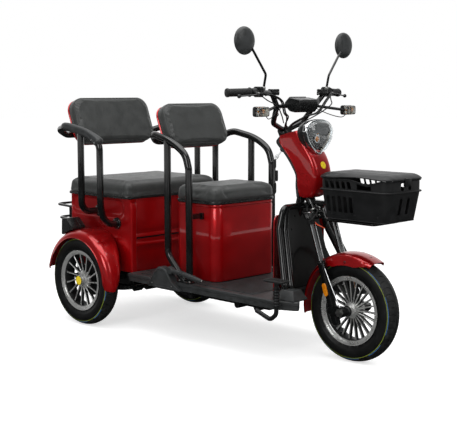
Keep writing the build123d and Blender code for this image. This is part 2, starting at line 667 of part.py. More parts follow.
PEDAL_Y = -DECK_HALF_W - 18
PEDAL_PIVOT_Z = RAIL_TOP - 9 - SEAT_GAP
with BuildPart() as brake_pedal:
    pedal_x = FRONT_AXLE_X - 137
    bar([(pedal_x - 105, PEDAL_Y, PEDAL_PIVOT_Z), (pedal_x - 30, PEDAL_Y, up(-72)),
         (pedal_x, PEDAL_Y, up(-47)), (pedal_x, PEDAL_Y, up(84))], 9, 24)
    block((pedal_x - 48, pedal_x + 48), (PEDAL_Y - 28, PEDAL_Y + 28), (up(80), up(90)))
    fillet(brake_pedal.edges().filter_by(Axis.Z), radius=12)
    rod((pedal_x - 105, PEDAL_Y, PEDAL_PIVOT_Z), (pedal_x - 105, PEDAL_Y + 60, PEDAL_PIVOT_Z), 9)
brake_pedal.part.label = "brake_pedal"
export_step(brake_pedal.part, "parts/brake_pedal.step")

# ---- leg guard, leg shield and apron ----
GUARD_TOP_Z = up(343)
NECK_LEAN = (NECK_ROUTE[2][0] - NECK_ROUTE[1][0]) / (NECK_ROUTE[2][2] - NECK_ROUTE[1][2])
NECK_TOP_X = NECK_TUBE_X + (GUARD_TOP_Z - NECK_ROUTE[1][2]) * NECK_LEAN
GUARD_X = NECK_TOP_X + 23.5
with BuildPart() as leg_guard:
    for side in SIDES.values():
        bar(on_side([
            (GUARD_X + 104, 226, STAND_Z - 6),
            (GUARD_X + 92, 222, up(48)),
            (GUARD_X + 6, 160, up(258)),
            (GUARD_X, 128, GUARD_TOP_Z),
            (GUARD_X, 0, GUARD_TOP_Z),
        ], side), GUARD_TUBE_R, 34)
        bar(on_side([
            (GUARD_X + 108, 196, STAND_Z - 6),
            (GUARD_X + 98, 192, up(44)),
            (GUARD_X + 12, 130, up(250)),
            (GUARD_X + 2, 112, GUARD_TOP_Z - 2),
        ], side), GUARD_TUBE_R, 34)
    block((GUARD_X, GUARD_X + 200), (-DECK_HALF_W, DECK_HALF_W), (STAND_Z - 60, STAND_Z),
          Mode.SUBTRACT)
    bar(NECK_ROUTE, NECK_TUBE_R + SEAT_GAP, 60, Mode.SUBTRACT)
leg_guard.part.label = "leg_guard"
export_step(leg_guard.part, "parts/leg_guard.step")

PANEL_T = 4.0
with BuildPart() as leg_shield:
    for height, half_w, middle_x, sag in ((STAND_Z, 178, NECK_TUBE_X + 43, 66),
                                          (up(158), 118, NECK_TUBE_X + 35, 30),
                                          (GUARD_TOP_Z - 4, 96, GUARD_X - 22, 1)):
        with BuildSketch(Plane.XY.offset(height)):
            with BuildLine():
                front = ThreePointArc((middle_x + sag, -half_w), (middle_x, 0),
                                      (middle_x + sag, half_w))
                back = ThreePointArc((middle_x + sag - PANEL_T, -half_w),
                                     (middle_x - PANEL_T, 0),
                                     (middle_x + sag - PANEL_T, half_w))
                Line(front @ 0, back @ 0)
                Line(front @ 1, back @ 1)
            make_face()
    loft(ruled=True)
    bar(NECK_ROUTE, NECK_TUBE_R + 2, 60, Mode.SUBTRACT)
leg_shield.part.label = "leg_shield"
export_step(leg_shield.part, "parts/leg_shield.step")

APRON_X = NECK_TUBE_X + 23.0
APRON_BULGE = 54.0
APRON_T = 5.0
with BuildPart() as front_apron:
    with BuildSketch(Plane.XY.offset(STAND_Z)):
        with BuildLine():
            front = ThreePointArc((APRON_X, -158), (APRON_X - APRON_BULGE, 0), (APRON_X, 158))
            back = ThreePointArc((APRON_X - APRON_T, -158), (APRON_X - APRON_BULGE - APRON_T, 0),
                                 (APRON_X - APRON_T, 158))
            Line(front @ 0, back @ 0)
            Line(front @ 1, back @ 1)
        make_face()
    extrude(amount=306)
    with BuildSketch(Plane.YZ.offset(APRON_X - 100)) as outline:
        with Locations((0, STAND_Z + 100)):
            RectangleRounded(324, 2 * 206, 44)
    extrude(outline.sketch, amount=200, mode=Mode.INTERSECT)
front_apron.part.label = "front_apron"
export_step(front_apron.part, "parts/front_apron.step")

# ---- front column ----
LAMP_FACE_X, LAMP_Z = head(179, 625)


def lamp_outline(face_x, scale):
    """The headlight's shield outline, wide at the top, on an upright plane."""
    corners = [(0, 72), (58, 62), (86, 30), (70, -18), (30, -60), (0, -72),
               (-30, -60), (-70, -18), (-86, 30), (-58, 62)]
    with BuildSketch(Plane(origin=(face_x, 0, LAMP_Z), x_dir=(0, 1, 0), z_dir=(1, 0, 0))) as shield:
        with BuildLine():
            Spline(*[(scale * y, scale * z) for y, z in corners], periodic=True)
        make_face()
    return shield.sketch


def column_well():
    """The column's bore: the head tube's room, wider ahead of it for the cables."""
    with BuildSketch(steer_plane(up(298))) as well:
        Circle(40)
        with Locations((-45, 0)):
            Rectangle(80, 100, mode=Mode.SUBTRACT)
        Circle(HEAD_TUBE_R + 4)
    return well.sketch


BOUNDARY = [head(40.3, 637), head(63.9, 512), head(17.6, 393)]
COWL_HALF_W = 58.0
with BuildPart() as front_cowl:
    with BuildSketch(Plane.XZ.offset(-COWL_HALF_W)):
        with BuildLine():
            Polyline(BOUNDARY[0], head(119.3, 652), head(142.7, 538), head(128.1, 473),
                     head(86.8, 414), head(30.6, 378), BOUNDARY[2], BOUNDARY[1],
                     BOUNDARY[0])
        make_face()
    extrude(amount=2 * COWL_HALF_W)
    front_edges = front_cowl.edges().filter_by(
        lambda edge: edge.center().X > BOUNDARY[1][0] + 3
        and abs(edge.center().Y) > COWL_HALF_W - 1)
    fillet(front_edges, radius=20)
    extrude(column_well(), amount=400, mode=Mode.SUBTRACT)
    loft([lamp_outline(LAMP_FACE_X + 0.5, 1.008), lamp_outline(LAMP_FACE_X - 30, 0.968),
          lamp_outline(LAMP_FACE_X - 72.5, 0.508)], mode=Mode.SUBTRACT)
front_cowl.part.label = "front_cowl"
export_step(front_cowl.part, "parts/front_cowl.step")

with BuildPart() as cowl_rear_cover:
    with BuildSketch(Plane.XZ.offset(-COWL_HALF_W + 6)):
        with BuildLine():
            Polyline(*BOUNDARY, head(9.6, 378), head(-32.4, 378), head(10.9, 467),
                     head(-3.3, 538), head(-30.3, 600), head(5.4, 622), BOUNDARY[0])
        make_face()
    extrude(amount=2 * COWL_HALF_W - 12)
    extrude(column_well(), amount=400, mode=Mode.SUBTRACT)
    bar(NECK_ROUTE, NECK_TUBE_R + 1, 60, Mode.SUBTRACT)
cowl_rear_cover.part.label = "cowl_rear_cover"
export_step(cowl_rear_cover.part, "parts/cowl_rear_cover.step")

with BuildPart() as ignition_key:
    bow_x, bow_z = head(-66, 540.5)
    rod(head_at(-17.2, -34, 568.8), head_at(-54, -34, 545.3), 4)
    block((bow_x - 12, bow_x + 12), (-44, -24), (bow_z - 8.5, bow_z + 8.5))
ignition_key.part.label = "ignition_key"
export_step(ignition_key.part, "parts/ignition_key.step")

# ---- headlight ----
with BuildPart() as headlight_bucket:
    loft([lamp_outline(LAMP_FACE_X, 1.0), lamp_outline(LAMP_FACE_X - 30, 0.96),
          lamp_outline(LAMP_FACE_X - 72, 0.5)])
    loft([lamp_outline(LAMP_FACE_X, 0.9), lamp_outline(LAMP_FACE_X - 24, 0.84),
          lamp_outline(LAMP_FACE_X - 46, 0.4)], mode=Mode.SUBTRACT)
    for height in (-8, 22):
        rod((LAMP_FACE_X - 52, 0, LAMP_Z + height), (LAMP_FACE_X - 24, 0, LAMP_Z + height), 13)
headlight_bucket.part.label = "headlight_bucket"
export_step(headlight_bucket.part, "parts/headlight_bucket.step")

with BuildPart() as headlight_lens:
    loft([lamp_outline(LAMP_FACE_X + SEAT_GAP, 0.95), lamp_outline(LAMP_FACE_X + 16, 0.88),
          lamp_outline(LAMP_FACE_X + 30, 0.6)])
    loft([lamp_outline(LAMP_FACE_X + SEAT_GAP, 0.9), lamp_outline(LAMP_FACE_X + 14, 0.83),
          lamp_outline(LAMP_FACE_X + 26, 0.56)], mode=Mode.SUBTRACT)
headlight_lens.part.label = "headlight_lens"
export_step(headlight_lens.part, "parts/headlight_lens.step")

# ---- basket ----
BASKET_BACK_X, BASKET_LOW = head(98.6, 314)
BASKET_L = 348.0
BASKET_HALF_W = 122.0
BASKET_FLANGE = up(428)
BASKET_HIGH = up(476)
BASKET_MID_X = BASKET_BACK_X + BASKET_L / 2


def basket_section(height, inset):
    """The basket's rounded outline at a height, pulled in all round."""
    with BuildSketch(Plane.XY.offset(height)) as outline:
        with Locations((BASKET_MID_X - 0.2 * inset, 0)):
            RectangleRounded(BASKET_L - 2 * inset, 2 * (BASKET_HALF_W - inset), 44)
    return outline.sketch


BASKET_T = 3.5
with BuildPart() as basket:
    loft([basket_section(BASKET_LOW, 30), basket_section(BASKET_FLANGE, 8)])
    extrude(basket_section(BASKET_FLANGE, 0), amount=6)
    extrude(basket_section(BASKET_FLANGE + 6, 8), amount=BASKET_HIGH - BASKET_FLANGE - 6)
    loft([basket_section(BASKET_LOW + BASKET_T, 30 + BASKET_T),
          basket_section(BASKET_FLANGE, 8 + BASKET_T)], mode=Mode.SUBTRACT)
    extrude(basket_section(BASKET_FLANGE, 8 + BASKET_T), amount=100, mode=Mode.SUBTRACT)
    for column in range(8):
        slot_x = BASKET_MID_X + (column - 3.5) * 30
        block((slot_x - 6, slot_x + 6), (-200, 200), (BASKET_LOW + 26, BASKET_FLANGE - 16),
              Mode.SUBTRACT)
        block((slot_x - 8, slot_x + 8), (-200, 200), (BASKET_FLANGE + 14, BASKET_HIGH - 8),
              Mode.SUBTRACT)
    for column in range(5):
        slot_y = (column - 2) * 30
        block((BASKET_BACK_X - 50, BASKET_BACK_X + BASKET_L + 50), (slot_y - 6, slot_y + 6),
              (BASKET_LOW + 26, BASKET_FLANGE - 16), Mode.SUBTRACT)
basket.part.label = "basket"
export_step(basket.part, "parts/basket.step")

with BuildPart() as basket_lid:
    loft([basket_section(BASKET_HIGH + SEAT_GAP, 0), basket_section(BASKET_HIGH + 10, 0),
          basket_section(BASKET_HIGH + 22, 26)], ruled=True)
    loft([basket_section(BASKET_HIGH + SEAT_GAP, 4), basket_section(BASKET_HIGH + 7, 4),
          basket_section(BASKET_HIGH + 18, 30)], ruled=True, mode=Mode.SUBTRACT)
    block((BASKET_BACK_X + BASKET_L - 9, BASKET_BACK_X + BASKET_L + 4), (-18, 18),
          (BASKET_HIGH - 24, BASKET_HIGH + 8))
basket_lid.part.label = "basket_lid"
export_step(basket_lid.part, "parts/basket_lid.step")

CRADLE_R = 7.0
with BuildPart() as basket_support:
    CRADLE_Z = BASKET_LOW - CRADLE_R - SEAT_GAP
    rear, front = BASKET_BACK_X, BASKET_BACK_X + BASKET_L
    bar([(rear - 37, -12, up(360)), (rear - 13, -56, up(342)), (rear + 19, -76, CRADLE_Z),
         (front - 95, -80, CRADLE_Z), (front - 95, 80, CRADLE_Z), (rear + 19, 76, CRADLE_Z),
         (rear - 13, 56, up(342)), (rear - 37, 12, up(360))], CRADLE_R, 16)
    rod((rear + 43, -76, CRADLE_Z), (rear + 43, 76, CRADLE_Z), CRADLE_R)
    block((rear - 123, rear - 29), (-16, 16), (up(354), up(370)))
    with BuildSketch(steer_plane(up(298))) as head_room:
        Circle(HEAD_TUBE_R + SEAT_GAP)
    extrude(head_room.sketch, amount=160, mode=Mode.SUBTRACT)
basket_support.part.label = "basket_support"
export_step(basket_support.part, "parts/basket_support.step")

# ---- fork ----
CLAMP_Z = up(314)
CLAMP_T = 30.0
BAR_CLAMP_Z = up(640)
LEG_LEAN = 18.7
LEG_BACK = 48.0
LEG_COS = cos(radians(LEG_LEAN))
LEG_FOOT_Z = TYRE_R - 57.0
SLIDER_TOP_Z = TYRE_R + FENDER_R - 42.5


def along(height):
    """Distance up the steering axis from the front axle's level."""
    return (height - TYRE_R) / RAKE_COS


def leg_plane(height, side):
    """A plane square to a fork leg, which leans less than the axis and stands behind the axle."""
    leg_x = FRONT_AXLE_X - LEG_BACK - (height - TYRE_R) * tan(radians(LEG_LEAN))
    return Plane(origin=(leg_x, side * FORK_HALF_W, height), x_dir=(LEG_COS, 0, sin(radians(LEG_LEAN))),
                 z_dir=(-sin(radians(LEG_LEAN)), 0, LEG_COS))


with BuildPart() as front_fork:
    for side in SIDES.values():
        foot = leg_plane(LEG_FOOT_Z, side)
        with BuildSketch(foot) as slider:
            Circle(SLIDER_R)
        extrude(slider.sketch, amount=(SLIDER_TOP_Z - LEG_FOOT_Z) / LEG_COS)
        with BuildSketch(foot) as stanchion:
            Circle(STANCHION_R)
        extrude(stanchion.sketch, amount=(CLAMP_Z + 12 - LEG_FOOT_Z) / LEG_COS)
        with BuildSketch(leg_plane(up(278), side)) as collar:
            Circle(SLIDER_R)
        extrude(collar.sketch, amount=(CLAMP_Z - up(278)) / LEG_COS)
        with BuildSketch(wheel_face(FRONT_AXLE_X - LEG_BACK / 2, side * FORK_HALF_W)) as lug:
            SlotCenterToCenter(LEG_BACK, 2 * SLIDER_R + 6)
        extrude(lug.sketch, amount=SLIDER_R, both=True)
    with BuildSketch(steer_plane(CLAMP_Z, FORK_OFFSET / 2)) as clamp:
        SlotCenterToCenter(2 * FORK_HALF_W, 46, rotation=90)
    extrude(clamp.sketch, amount=CLAMP_T / 2, both=True)
    with BuildSketch(steer_plane(CLAMP_Z)) as stem:
        Circle(STEM_R)
    extrude(stem.sketch, amount=along(BAR_CLAMP_Z) - along(CLAMP_Z) + 12)
    with BuildSketch(steer_plane(CLAMP_Z)) as race:
        Circle(HEAD_TUBE_R)
    extrude(race.sketch, amount=along(NECK_LOW_Z) - along(CLAMP_Z) - SEAT_GAP)
    with BuildSketch(wheel_face(FRONT_AXLE_X)) as axle_hole:
        Circle(AXLE_R + RUNNING)
    extrude(axle_hole.sketch, amount=140, both=True, mode=Mode.SUBTRACT)
front_fork.part.label = "front_fork"
export_step(front_fork.part, "parts/front_fork.step")

LEG_INSIDE = FORK_HALF_W - SLIDER_R
LEG_OUTSIDE = FORK_HALF_W + SLIDER_R
with BuildPart() as front_axle:
    with BuildSketch(wheel_face(FRONT_AXLE_X)) as pin:
        Circle(AXLE_R)
    extrude(pin.sketch, amount=LEG_OUTSIDE + 12, both=True)
    for side in SIDES.values():
        spacer_half = (LEG_INSIDE - FRONT_HUB_HALF_L) / 2 - SEAT_GAP
        spacer_y = side * (LEG_INSIDE + FRONT_HUB_HALF_L) / 2
        with BuildSketch(wheel_face(FRONT_AXLE_X, spacer_y)) as spacer:
            Circle(17)
        extrude(spacer.sketch, amount=spacer_half, both=True)
        with BuildSketch(wheel_face(FRONT_AXLE_X, side * (LEG_OUTSIDE + 5))) as nut:
            RegularPolygon(17, 6)
        extrude(nut.sketch, amount=5 - SEAT_GAP, both=True)
front_axle.part.label = "front_axle"
export_step(front_axle.part, "parts/front_axle.step")

with BuildPart() as front_fender:
    add(arch_body(FRONT_AXLE_X, (-FRONT_FENDER_HALF_W, FRONT_FENDER_HALF_W), FENDER_R, 26,
                  3.5, 20, -100, 148))
front_fender.part.label = "front_fender"
export_step(front_fender.part, "parts/front_fender.step")

# ---- handlebar and what it carries ----
BAR_ROUTE = [
    (steer_x(BAR_CLAMP_Z) + 4, 0, BAR_CLAMP_Z + 4), head_at(38.1, 90, 678),
    head_at(120.4, 118, 748), head_at(163, 164, 800),
    head_at(128.7, 232, 805), head_at(91.1, 345, 802),
]
GRIP_START, GRIP_END = BAR_ROUTE[-2], BAR_ROUTE[-1]


with BuildPart() as handlebar:
    for side in SIDES.values():
        bar(on_side(BAR_ROUTE, side), BAR_TUBE_R, 24)
    rod(on_side([BAR_ROUTE[2]], -1)[0], BAR_ROUTE[2], 8)
    with BuildSketch(steer_plane(BAR_CLAMP_Z - 14)) as clamp:
        Circle(26)
    extrude(clamp.sketch, amount=30)
    with BuildSketch(steer_plane(BAR_CLAMP_Z - 60)) as stem_room:
        Circle(STEM_R + SEAT_GAP)
    extrude(stem_room.sketch, amount=160, mode=Mode.SUBTRACT)
handlebar.part.label = "handlebar"
export_step(handlebar.part, "parts/handlebar.step")

with BuildPart() as handlebar_grips:
    for side in SIDES.values():
        start, end = on_side([between(GRIP_START, GRIP_END, 0.12),
                              between(GRIP_START, GRIP_END, 1.03)], side)
        rod(start, end, GRIP_R)
        rod(start, on_side([GRIP_END], side)[0], BAR_TUBE_R + SEAT_GAP, Mode.SUBTRACT)
handlebar_grips.part.label = "handlebar_grips"
export_step(handlebar_grips.part, "parts/handlebar_grips.step")

LEVER_PIVOT = between(GRIP_START, GRIP_END, -0.02)
with BuildPart() as brake_levers:
    for side in SIDES.values():
        hub, reach, tip = on_side([
            LEVER_PIVOT,
            between(GRIP_START, GRIP_END, 0.2),
            between(GRIP_START, GRIP_END, 0.86),
        ], side)
        rod((hub[0] + 18, hub[1], hub[2] - 4), (hub[0] + 32, hub[1], hub[2] - 8), 9)
        bar([(hub[0] + 26, hub[1], hub[2] - 8), (reach[0] + 46, reach[1], reach[2] - 10),
             (tip[0] + 46, tip[1], tip[2] - 14)], 5.5, 20)
        with Locations((tip[0] + 46, tip[1], tip[2] - 14)):
            Sphere(8)
brake_levers.part.label = "brake_levers"
export_step(brake_levers.part, "parts/brake_levers.step")

with BuildPart() as control_boxes:
    for side in SIDES.values():
        centre = on_side([between(GRIP_START, GRIP_END, -0.19)], side)[0]
        with BuildSketch(Plane.XZ.offset(-centre[1])) as pod:
            with Locations((centre[0], centre[2])):
                RectangleRounded(44, 42, 12)
        extrude(pod.sketch, amount=9, both=True)
        top = on_side([between(BAR_ROUTE[2], BAR_ROUTE[3], 0.74)], side)[0]
        block((top[0] - 14, top[0] + 18), (top[1] - 20, top[1] + 20), (top[2] + 6, top[2] + 30))
    for side in SIDES.values():
        bar(on_side(BAR_ROUTE, side), BAR_TUBE_R + SEAT_GAP, 24, Mode.SUBTRACT)
control_boxes.part.label = "control_boxes"
export_step(control_boxes.part, "parts/control_boxes.step")

with BuildPart() as dash_display:
    with BuildSketch(Plane.XZ.offset(-62)) as housing:
        Polygon(head(151.5, 784), head(210.2, 774), head(192.4, 748), head(156.5, 722),
                head(123.7, 728), head(111.7, 758), align=None)
    extrude(housing.sketch, amount=124)
    fillet(dash_display.edges().filter_by(Axis.Y), radius=8)
    rod(on_side([BAR_ROUTE[2]], -1)[0], BAR_ROUTE[2], 8 + SEAT_GAP, Mode.SUBTRACT)
dash_display.part.label = "dash_display"
export_step(dash_display.part, "parts/dash_display.step")

MIRROR_R = 54.0
for side_name, side in SIDES.items():
    with BuildPart() as mirror:
        stalk = on_side([head_at(153.7, 196, 814.5), head_at(198.4, 196, 874),
                         head_at(263.4, 296, 1000)], side)
        bar(stalk, 5, 14)
        glass_x, glass_z = head(249.4, 1002)
        with BuildSketch(Plane(origin=(glass_x, side * 307, glass_z), z_dir=(1, 0, 0))) as glass:
            Circle(MIRROR_R)
        extrude(glass.sketch, amount=9)
        with BuildSketch(Plane(origin=(glass_x + 9, side * 307, glass_z), z_dir=(1, 0, 0))) as dome:
            Circle(MIRROR_R)
        extrude(dome.sketch, amount=16, taper=38)
    mirror.part.label = f"mirror_{side_name}"
    export_step(mirror.part, f"parts/mirror_{side_name}.step")

with BuildPart() as turn_signals:
    for side in SIDES.values():
        root, tip = on_side([BAR_ROUTE[2], head_at(165.8, 246, 730)], side)
        rod(root, tip, 6)
        with Locations((tip[0] + 1, side * 272, tip[2] - 1)):
            Box(44, 62, 40)
        bar(on_side(BAR_ROUTE, side), BAR_TUBE_R + SEAT_GAP, 24, Mode.SUBTRACT)
    rod(on_side([BAR_ROUTE[2]], -1)[0], BAR_ROUTE[2], 8 + SEAT_GAP, Mode.SUBTRACT)
turn_signals.part.label = "turn_signals"
export_step(turn_signals.part, "parts/turn_signals.step")

CABLE_R = 3.0
with BuildPart() as control_cables:
    for side in SIDES.values():
        for spread in (0, 9):
            bar([
                steer_point(up(620), 30, side * (7 + spread)),
                steer_point(up(664), 33, side * (10 + spread)),
                *on_side([
                    head_at(97 + spread, 58, 704), head_at(132.5 + spread, 104, 722),
                    head_at(172.1 + spread, 140, 770), head_at(170.8 + spread, 186, 794),
                    (BAR_ROUTE[3][0] - 6.4, 212 - spread, up(800) - spread),
                ], side),
            ], CABLE_R, 12)
control_cables.part.label = "control_cables"
export_step(control_cables.part, "parts/control_cables.step")
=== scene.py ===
"""Electric tricycle: the finished look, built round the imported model."""

import json
import math

import bmesh
import bpy
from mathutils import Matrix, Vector, noise
from mathutils.bvhtree import BVHTree


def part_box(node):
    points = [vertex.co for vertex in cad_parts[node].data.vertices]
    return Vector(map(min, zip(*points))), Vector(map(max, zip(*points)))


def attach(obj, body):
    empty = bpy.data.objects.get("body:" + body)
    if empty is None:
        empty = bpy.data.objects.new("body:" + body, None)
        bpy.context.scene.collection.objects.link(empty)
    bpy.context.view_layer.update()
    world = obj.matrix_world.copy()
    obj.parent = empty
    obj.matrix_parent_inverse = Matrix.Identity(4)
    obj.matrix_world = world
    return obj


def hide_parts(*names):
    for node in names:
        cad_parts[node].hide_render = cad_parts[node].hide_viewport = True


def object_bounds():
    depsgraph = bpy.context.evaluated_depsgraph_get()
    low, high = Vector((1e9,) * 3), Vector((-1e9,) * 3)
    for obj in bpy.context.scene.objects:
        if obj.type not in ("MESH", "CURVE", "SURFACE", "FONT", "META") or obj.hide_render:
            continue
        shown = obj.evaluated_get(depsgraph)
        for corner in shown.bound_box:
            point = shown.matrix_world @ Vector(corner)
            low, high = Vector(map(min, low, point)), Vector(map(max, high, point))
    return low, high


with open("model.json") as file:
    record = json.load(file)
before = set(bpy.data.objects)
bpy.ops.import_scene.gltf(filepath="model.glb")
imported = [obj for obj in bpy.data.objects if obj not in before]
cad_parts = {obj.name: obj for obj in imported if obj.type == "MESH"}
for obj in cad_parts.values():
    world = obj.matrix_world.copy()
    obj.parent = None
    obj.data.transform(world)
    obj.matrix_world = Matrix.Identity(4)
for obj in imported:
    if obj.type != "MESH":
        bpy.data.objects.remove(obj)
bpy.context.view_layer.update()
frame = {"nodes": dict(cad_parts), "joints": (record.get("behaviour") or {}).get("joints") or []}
MM = 0.001
SIDES = {"right": -1, "left": 1}
# Millimetres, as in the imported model.
FRONT_BOX_AHEAD = 573
BODY_BACK, BODY_FRONT, BODY_HALF_W = -215.0, 230.0, 262.0
GUARD_R, TRACK_HALF = 234, 341
ARM_TUBE_R, BAR_TUBE_R = 15.5, 11


# ---- places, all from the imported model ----
def box_middle(node_name):
    """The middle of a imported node's box."""
    low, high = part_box(node_name)
    return (low + high) / 2


front_hub = box_middle("front_tyre")
rear_hubs = {side: box_middle(f"rear_tyre_{side}") for side in SIDES}
deck_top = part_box("floor_deck")[1].z - 2 * MM
steering = next(joint for joint in frame["joints"] if joint["name"] == "steering")
steer_foot = Vector(steering["pos_m"])
steer_up = Vector(steering["axis"]).normalized()
steer_ahead = Vector((steer_up.z, 0, -steer_up.x))


def from_front(ahead, across, rise):
    """Millimetres from the front hub, the middle plane and the deck's top."""
    return Vector((front_hub.x + ahead * MM, across * MM, deck_top + rise * MM))


def from_rear(ahead, across, rise):
    """Millimetres from the rear axle, the middle plane and the deck's top."""
    return Vector((rear_hubs["right"].x + ahead * MM, across * MM, deck_top + rise * MM))


def by_column(ahead, across, rise):
    """Millimetres ahead of the steering axis, across, and over the deck's top."""
    height = deck_top + rise * MM
    along = (height - steer_foot.z) / steer_up.z
    axis_x = steer_foot.x + along * steer_up.x
    return Vector((axis_x + ahead * MM, across * MM, height))


def mirrored(point, side):
    """A point given for the left, on either side."""
    return Vector((point.x, side * point.y, point.z))


# ---- materials ----
def colour(code):
    """An sRGB hex colour as linear values."""
    parts = [int(code[i:i + 2], 16) / 255 for i in (1, 3, 5)]
    return (*[c / 12.92 if c <= 0.04045 else ((c + 0.055) / 1.055) ** 2.4 for c in parts], 1.0)


def add_node(tree, kind, settings=None, links=None):
    """Adds a node, with its settings and with its sockets set or linked."""
    made = tree.nodes.new(kind)
    for name, value in (settings or {}).items():
        setattr(made, name, value)
    for socket, value in (links or {}).items():
        if isinstance(value, bpy.types.NodeSocket):
            tree.links.new(value, made.inputs[socket])
        else:
            made.inputs[socket].default_value = value
    return made


def start_material(name, sockets):
    """A material with its surface shader; returns it, its tree, shader and place in space."""
    made = bpy.data.materials.new(name)
    made.use_nodes = True
    tree = made.node_tree
    tree.nodes.clear()
    shader = add_node(tree, "ShaderNodeBsdfPrincipled", {}, sockets)
    add_node(tree, "ShaderNodeOutputMaterial", {}, {"Surface": shader.outputs["BSDF"]})
    place = add_node(tree, "ShaderNodeTexCoord").outputs["Object"]
    return made, tree, shader, place


def grain(tree, shader, place, size_mm, depth_mm, detail=2.0, strength=1.0):
    """Relief of one grain size, laid on a shader."""
    cells = add_node(tree, "ShaderNodeTexNoise", {},
                     {"Vector": place, "Scale": 1000 / size_mm, "Detail": detail})
    relief = add_node(tree, "ShaderNodeBump", {},
                      {"Height": cells.outputs["Fac"], "Distance": depth_mm * MM,
                       "Strength": strength})
    tree.links.new(relief.outputs["Normal"], shader.inputs["Normal"])


def cell_relief(tree, shader, place, feature, cell_mm, depth_mm, widest=None):
    """Relief of cells: the creases of leather or the prisms of a reflector."""
    cells = add_node(tree, "ShaderNodeTexVoronoi", {"feature": feature},
                     {"Vector": place, "Scale": 1000 / cell_mm})
    height = cells.outputs["Distance"]
    if widest:
        height = add_node(tree, "ShaderNodeMapRange", {},
                          {"Value": height, "From Max": widest}).outputs["Result"]
    relief = add_node(tree, "ShaderNodeBump", {},
                      {"Height": height, "Distance": depth_mm * MM, "Strength": 0.5})
    tree.links.new(relief.outputs["Normal"], shader.inputs["Normal"])


def mottle(tree, shader, place, size_mm, codes, detail):
    """Slow colour change between two shades of one finish; returns its noise."""
    cloud = add_node(tree, "ShaderNodeTexNoise", {},
                     {"Vector": place, "Scale": 1000 / size_mm, "Detail": detail})
    ramp = add_node(tree, "ShaderNodeValToRGB", {}, {"Fac": cloud.outputs["Fac"]})
    for stop, where, code in zip(ramp.color_ramp.elements, (0.35, 0.65), codes):
        stop.position = where
        stop.color = colour(code)
    tree.links.new(ramp.outputs["Color"], shader.inputs["Base Color"])
    return cloud


def finish(name, sockets, shades=None, patch_mm=30, detail=3.0, rough=None, relief=None,
           cells=None):
    """A material: shader sockets, two shades in patches, a roughness span and a relief."""
    made, tree, shader, place = start_material(name, sockets)
    if shades:
        cloud = mottle(tree, shader, place, patch_mm, shades, detail)
    if rough:
        spread = add_node(tree, "ShaderNodeMapRange", {},
                          {"Value": cloud.outputs["Fac"], "From Min": 0.3, "From Max": 0.7,
                           "To Min": rough[0], "To Max": rough[1]})
        tree.links.new(spread.outputs["Result"], shader.inputs["Roughness"])
    if relief:
        grain(tree, shader, place, *relief)
    if cells:
        cell_relief(tree, shader, place, *cells)
    return made


# Metallic enamel sprayed under clear lacquer: deep in shade, bright in the lights, with a
# faint orange peel.
candy_red = finish("candy_red_enamel", {"Metallic": 0.6, "Coat Weight": 0.8,
                                        "Coat Roughness": 0.03, "Coat IOR": 1.5},
                   ("#a8060c", "#bd080f"), 160, rough=(0.27, 0.34), relief=(9, 0.02, 1.0))
# Enamel baked on steel tube: a hard narrow shine and a slight peel.
tube_black = finish("black_enamel", {"IOR": 1.45, "Coat Weight": 0.5, "Coat Roughness": 0.05},
                    ("#0b0c0c", "#101111"), 60, rough=(0.14, 0.24), relief=(6, 0.02, 1.0))
# Embossed vinyl on foam: a 2.4 mm leather crease, satin, greyer where it is rubbed.
leathercloth = finish("vinyl_leathercloth",
                      {"IOR": 1.5, "Sheen Weight": 0.12, "Sheen Roughness": 0.5},
                      ("#2b2d2c", "#343635"), 45, 5.0, (0.36, 0.48),
                      cells=("DISTANCE_TO_EDGE", 2.4, 0.18, 0.12))
# Spark-textured polypropylene: matt, with a fine 1.3 mm grain.
matt_black = finish("moulded_black", {"IOR": 1.46}, ("#121314", "#191a1b"), 40,
                    rough=(0.38, 0.5), relief=(1.3, 0.05, 1.0, 0.6))
# Smooth injection-moulded ABS: satin, picks up soft lights.
smooth_black = finish("satin_black", {"IOR": 1.52}, ("#131414", "#1b1c1c"), 50,
                      rough=(0.22, 0.32), relief=(5, 0.03, 1.0))
# Thick enamel on castings: deep and smooth, with sharp highlights.
gloss_black = finish("gloss_black_enamel", {"IOR": 1.5}, ("#090a0a", "#0e0f0f"), 50,
                     rough=(0.1, 0.18), relief=(7, 0.02, 1.0))
# Vacuum-metallised bowl: grey, with a warm cast.
lamp_bowl = finish("reflector_metal", {"Metallic": 1.0}, ("#5d5a50", "#8a8577"), 24,
                   rough=(0.18, 0.3))
# Soft PVC cable sleeve: orange, satin.
orange_sleeve = finish("orange_pvc", {"IOR": 1.5}, ("#c0330c", "#d84a14"), 12,
                       rough=(0.35, 0.5))
# Painted shade for the unlit inside of a slot: soot-black, with no shine.
painted_shade_black = finish("shadowed_void", {"IOR": 1.3}, ("#030303", "#060606"), 20,
                    rough=(0.85, 0.95))
# Grained polypropylene of the leg shield: darker than the deck, dull.
charcoal_dark = finish("moulded_dark_grey", {"IOR": 1.48}, ("#1c1d1d", "#262827"), 45, 5.0,
                       (0.4, 0.55), (1.6, 0.05, 1.0, 0.6))
# Grained polypropylene of the deck and armrests: dull, scuffed paler in places.
charcoal = finish("moulded_grey", {"IOR": 1.5}, ("#272929", "#333536"), 30, 6.0,
                  (0.36, 0.52), (1.6, 0.06, 1.0, 0.6))
# Vulcanised tread rubber: matt and dusty.
tread = finish("tread_rubber", {"IOR": 1.52}, ("#111212", "#202221"), 22, 6.0,
               (0.5, 0.66), (1.2, 0.06, 2.0, 0.7))
# Smooth tyre wall: darker than the tread, with the mould's soft sheen.
tyre_wall = finish("sidewall_rubber", {"IOR": 1.52}, ("#0c0d0d", "#131414"), 35, 4.0,
                   (0.38, 0.5), (2.5, 0.04, 2.0, 0.5))
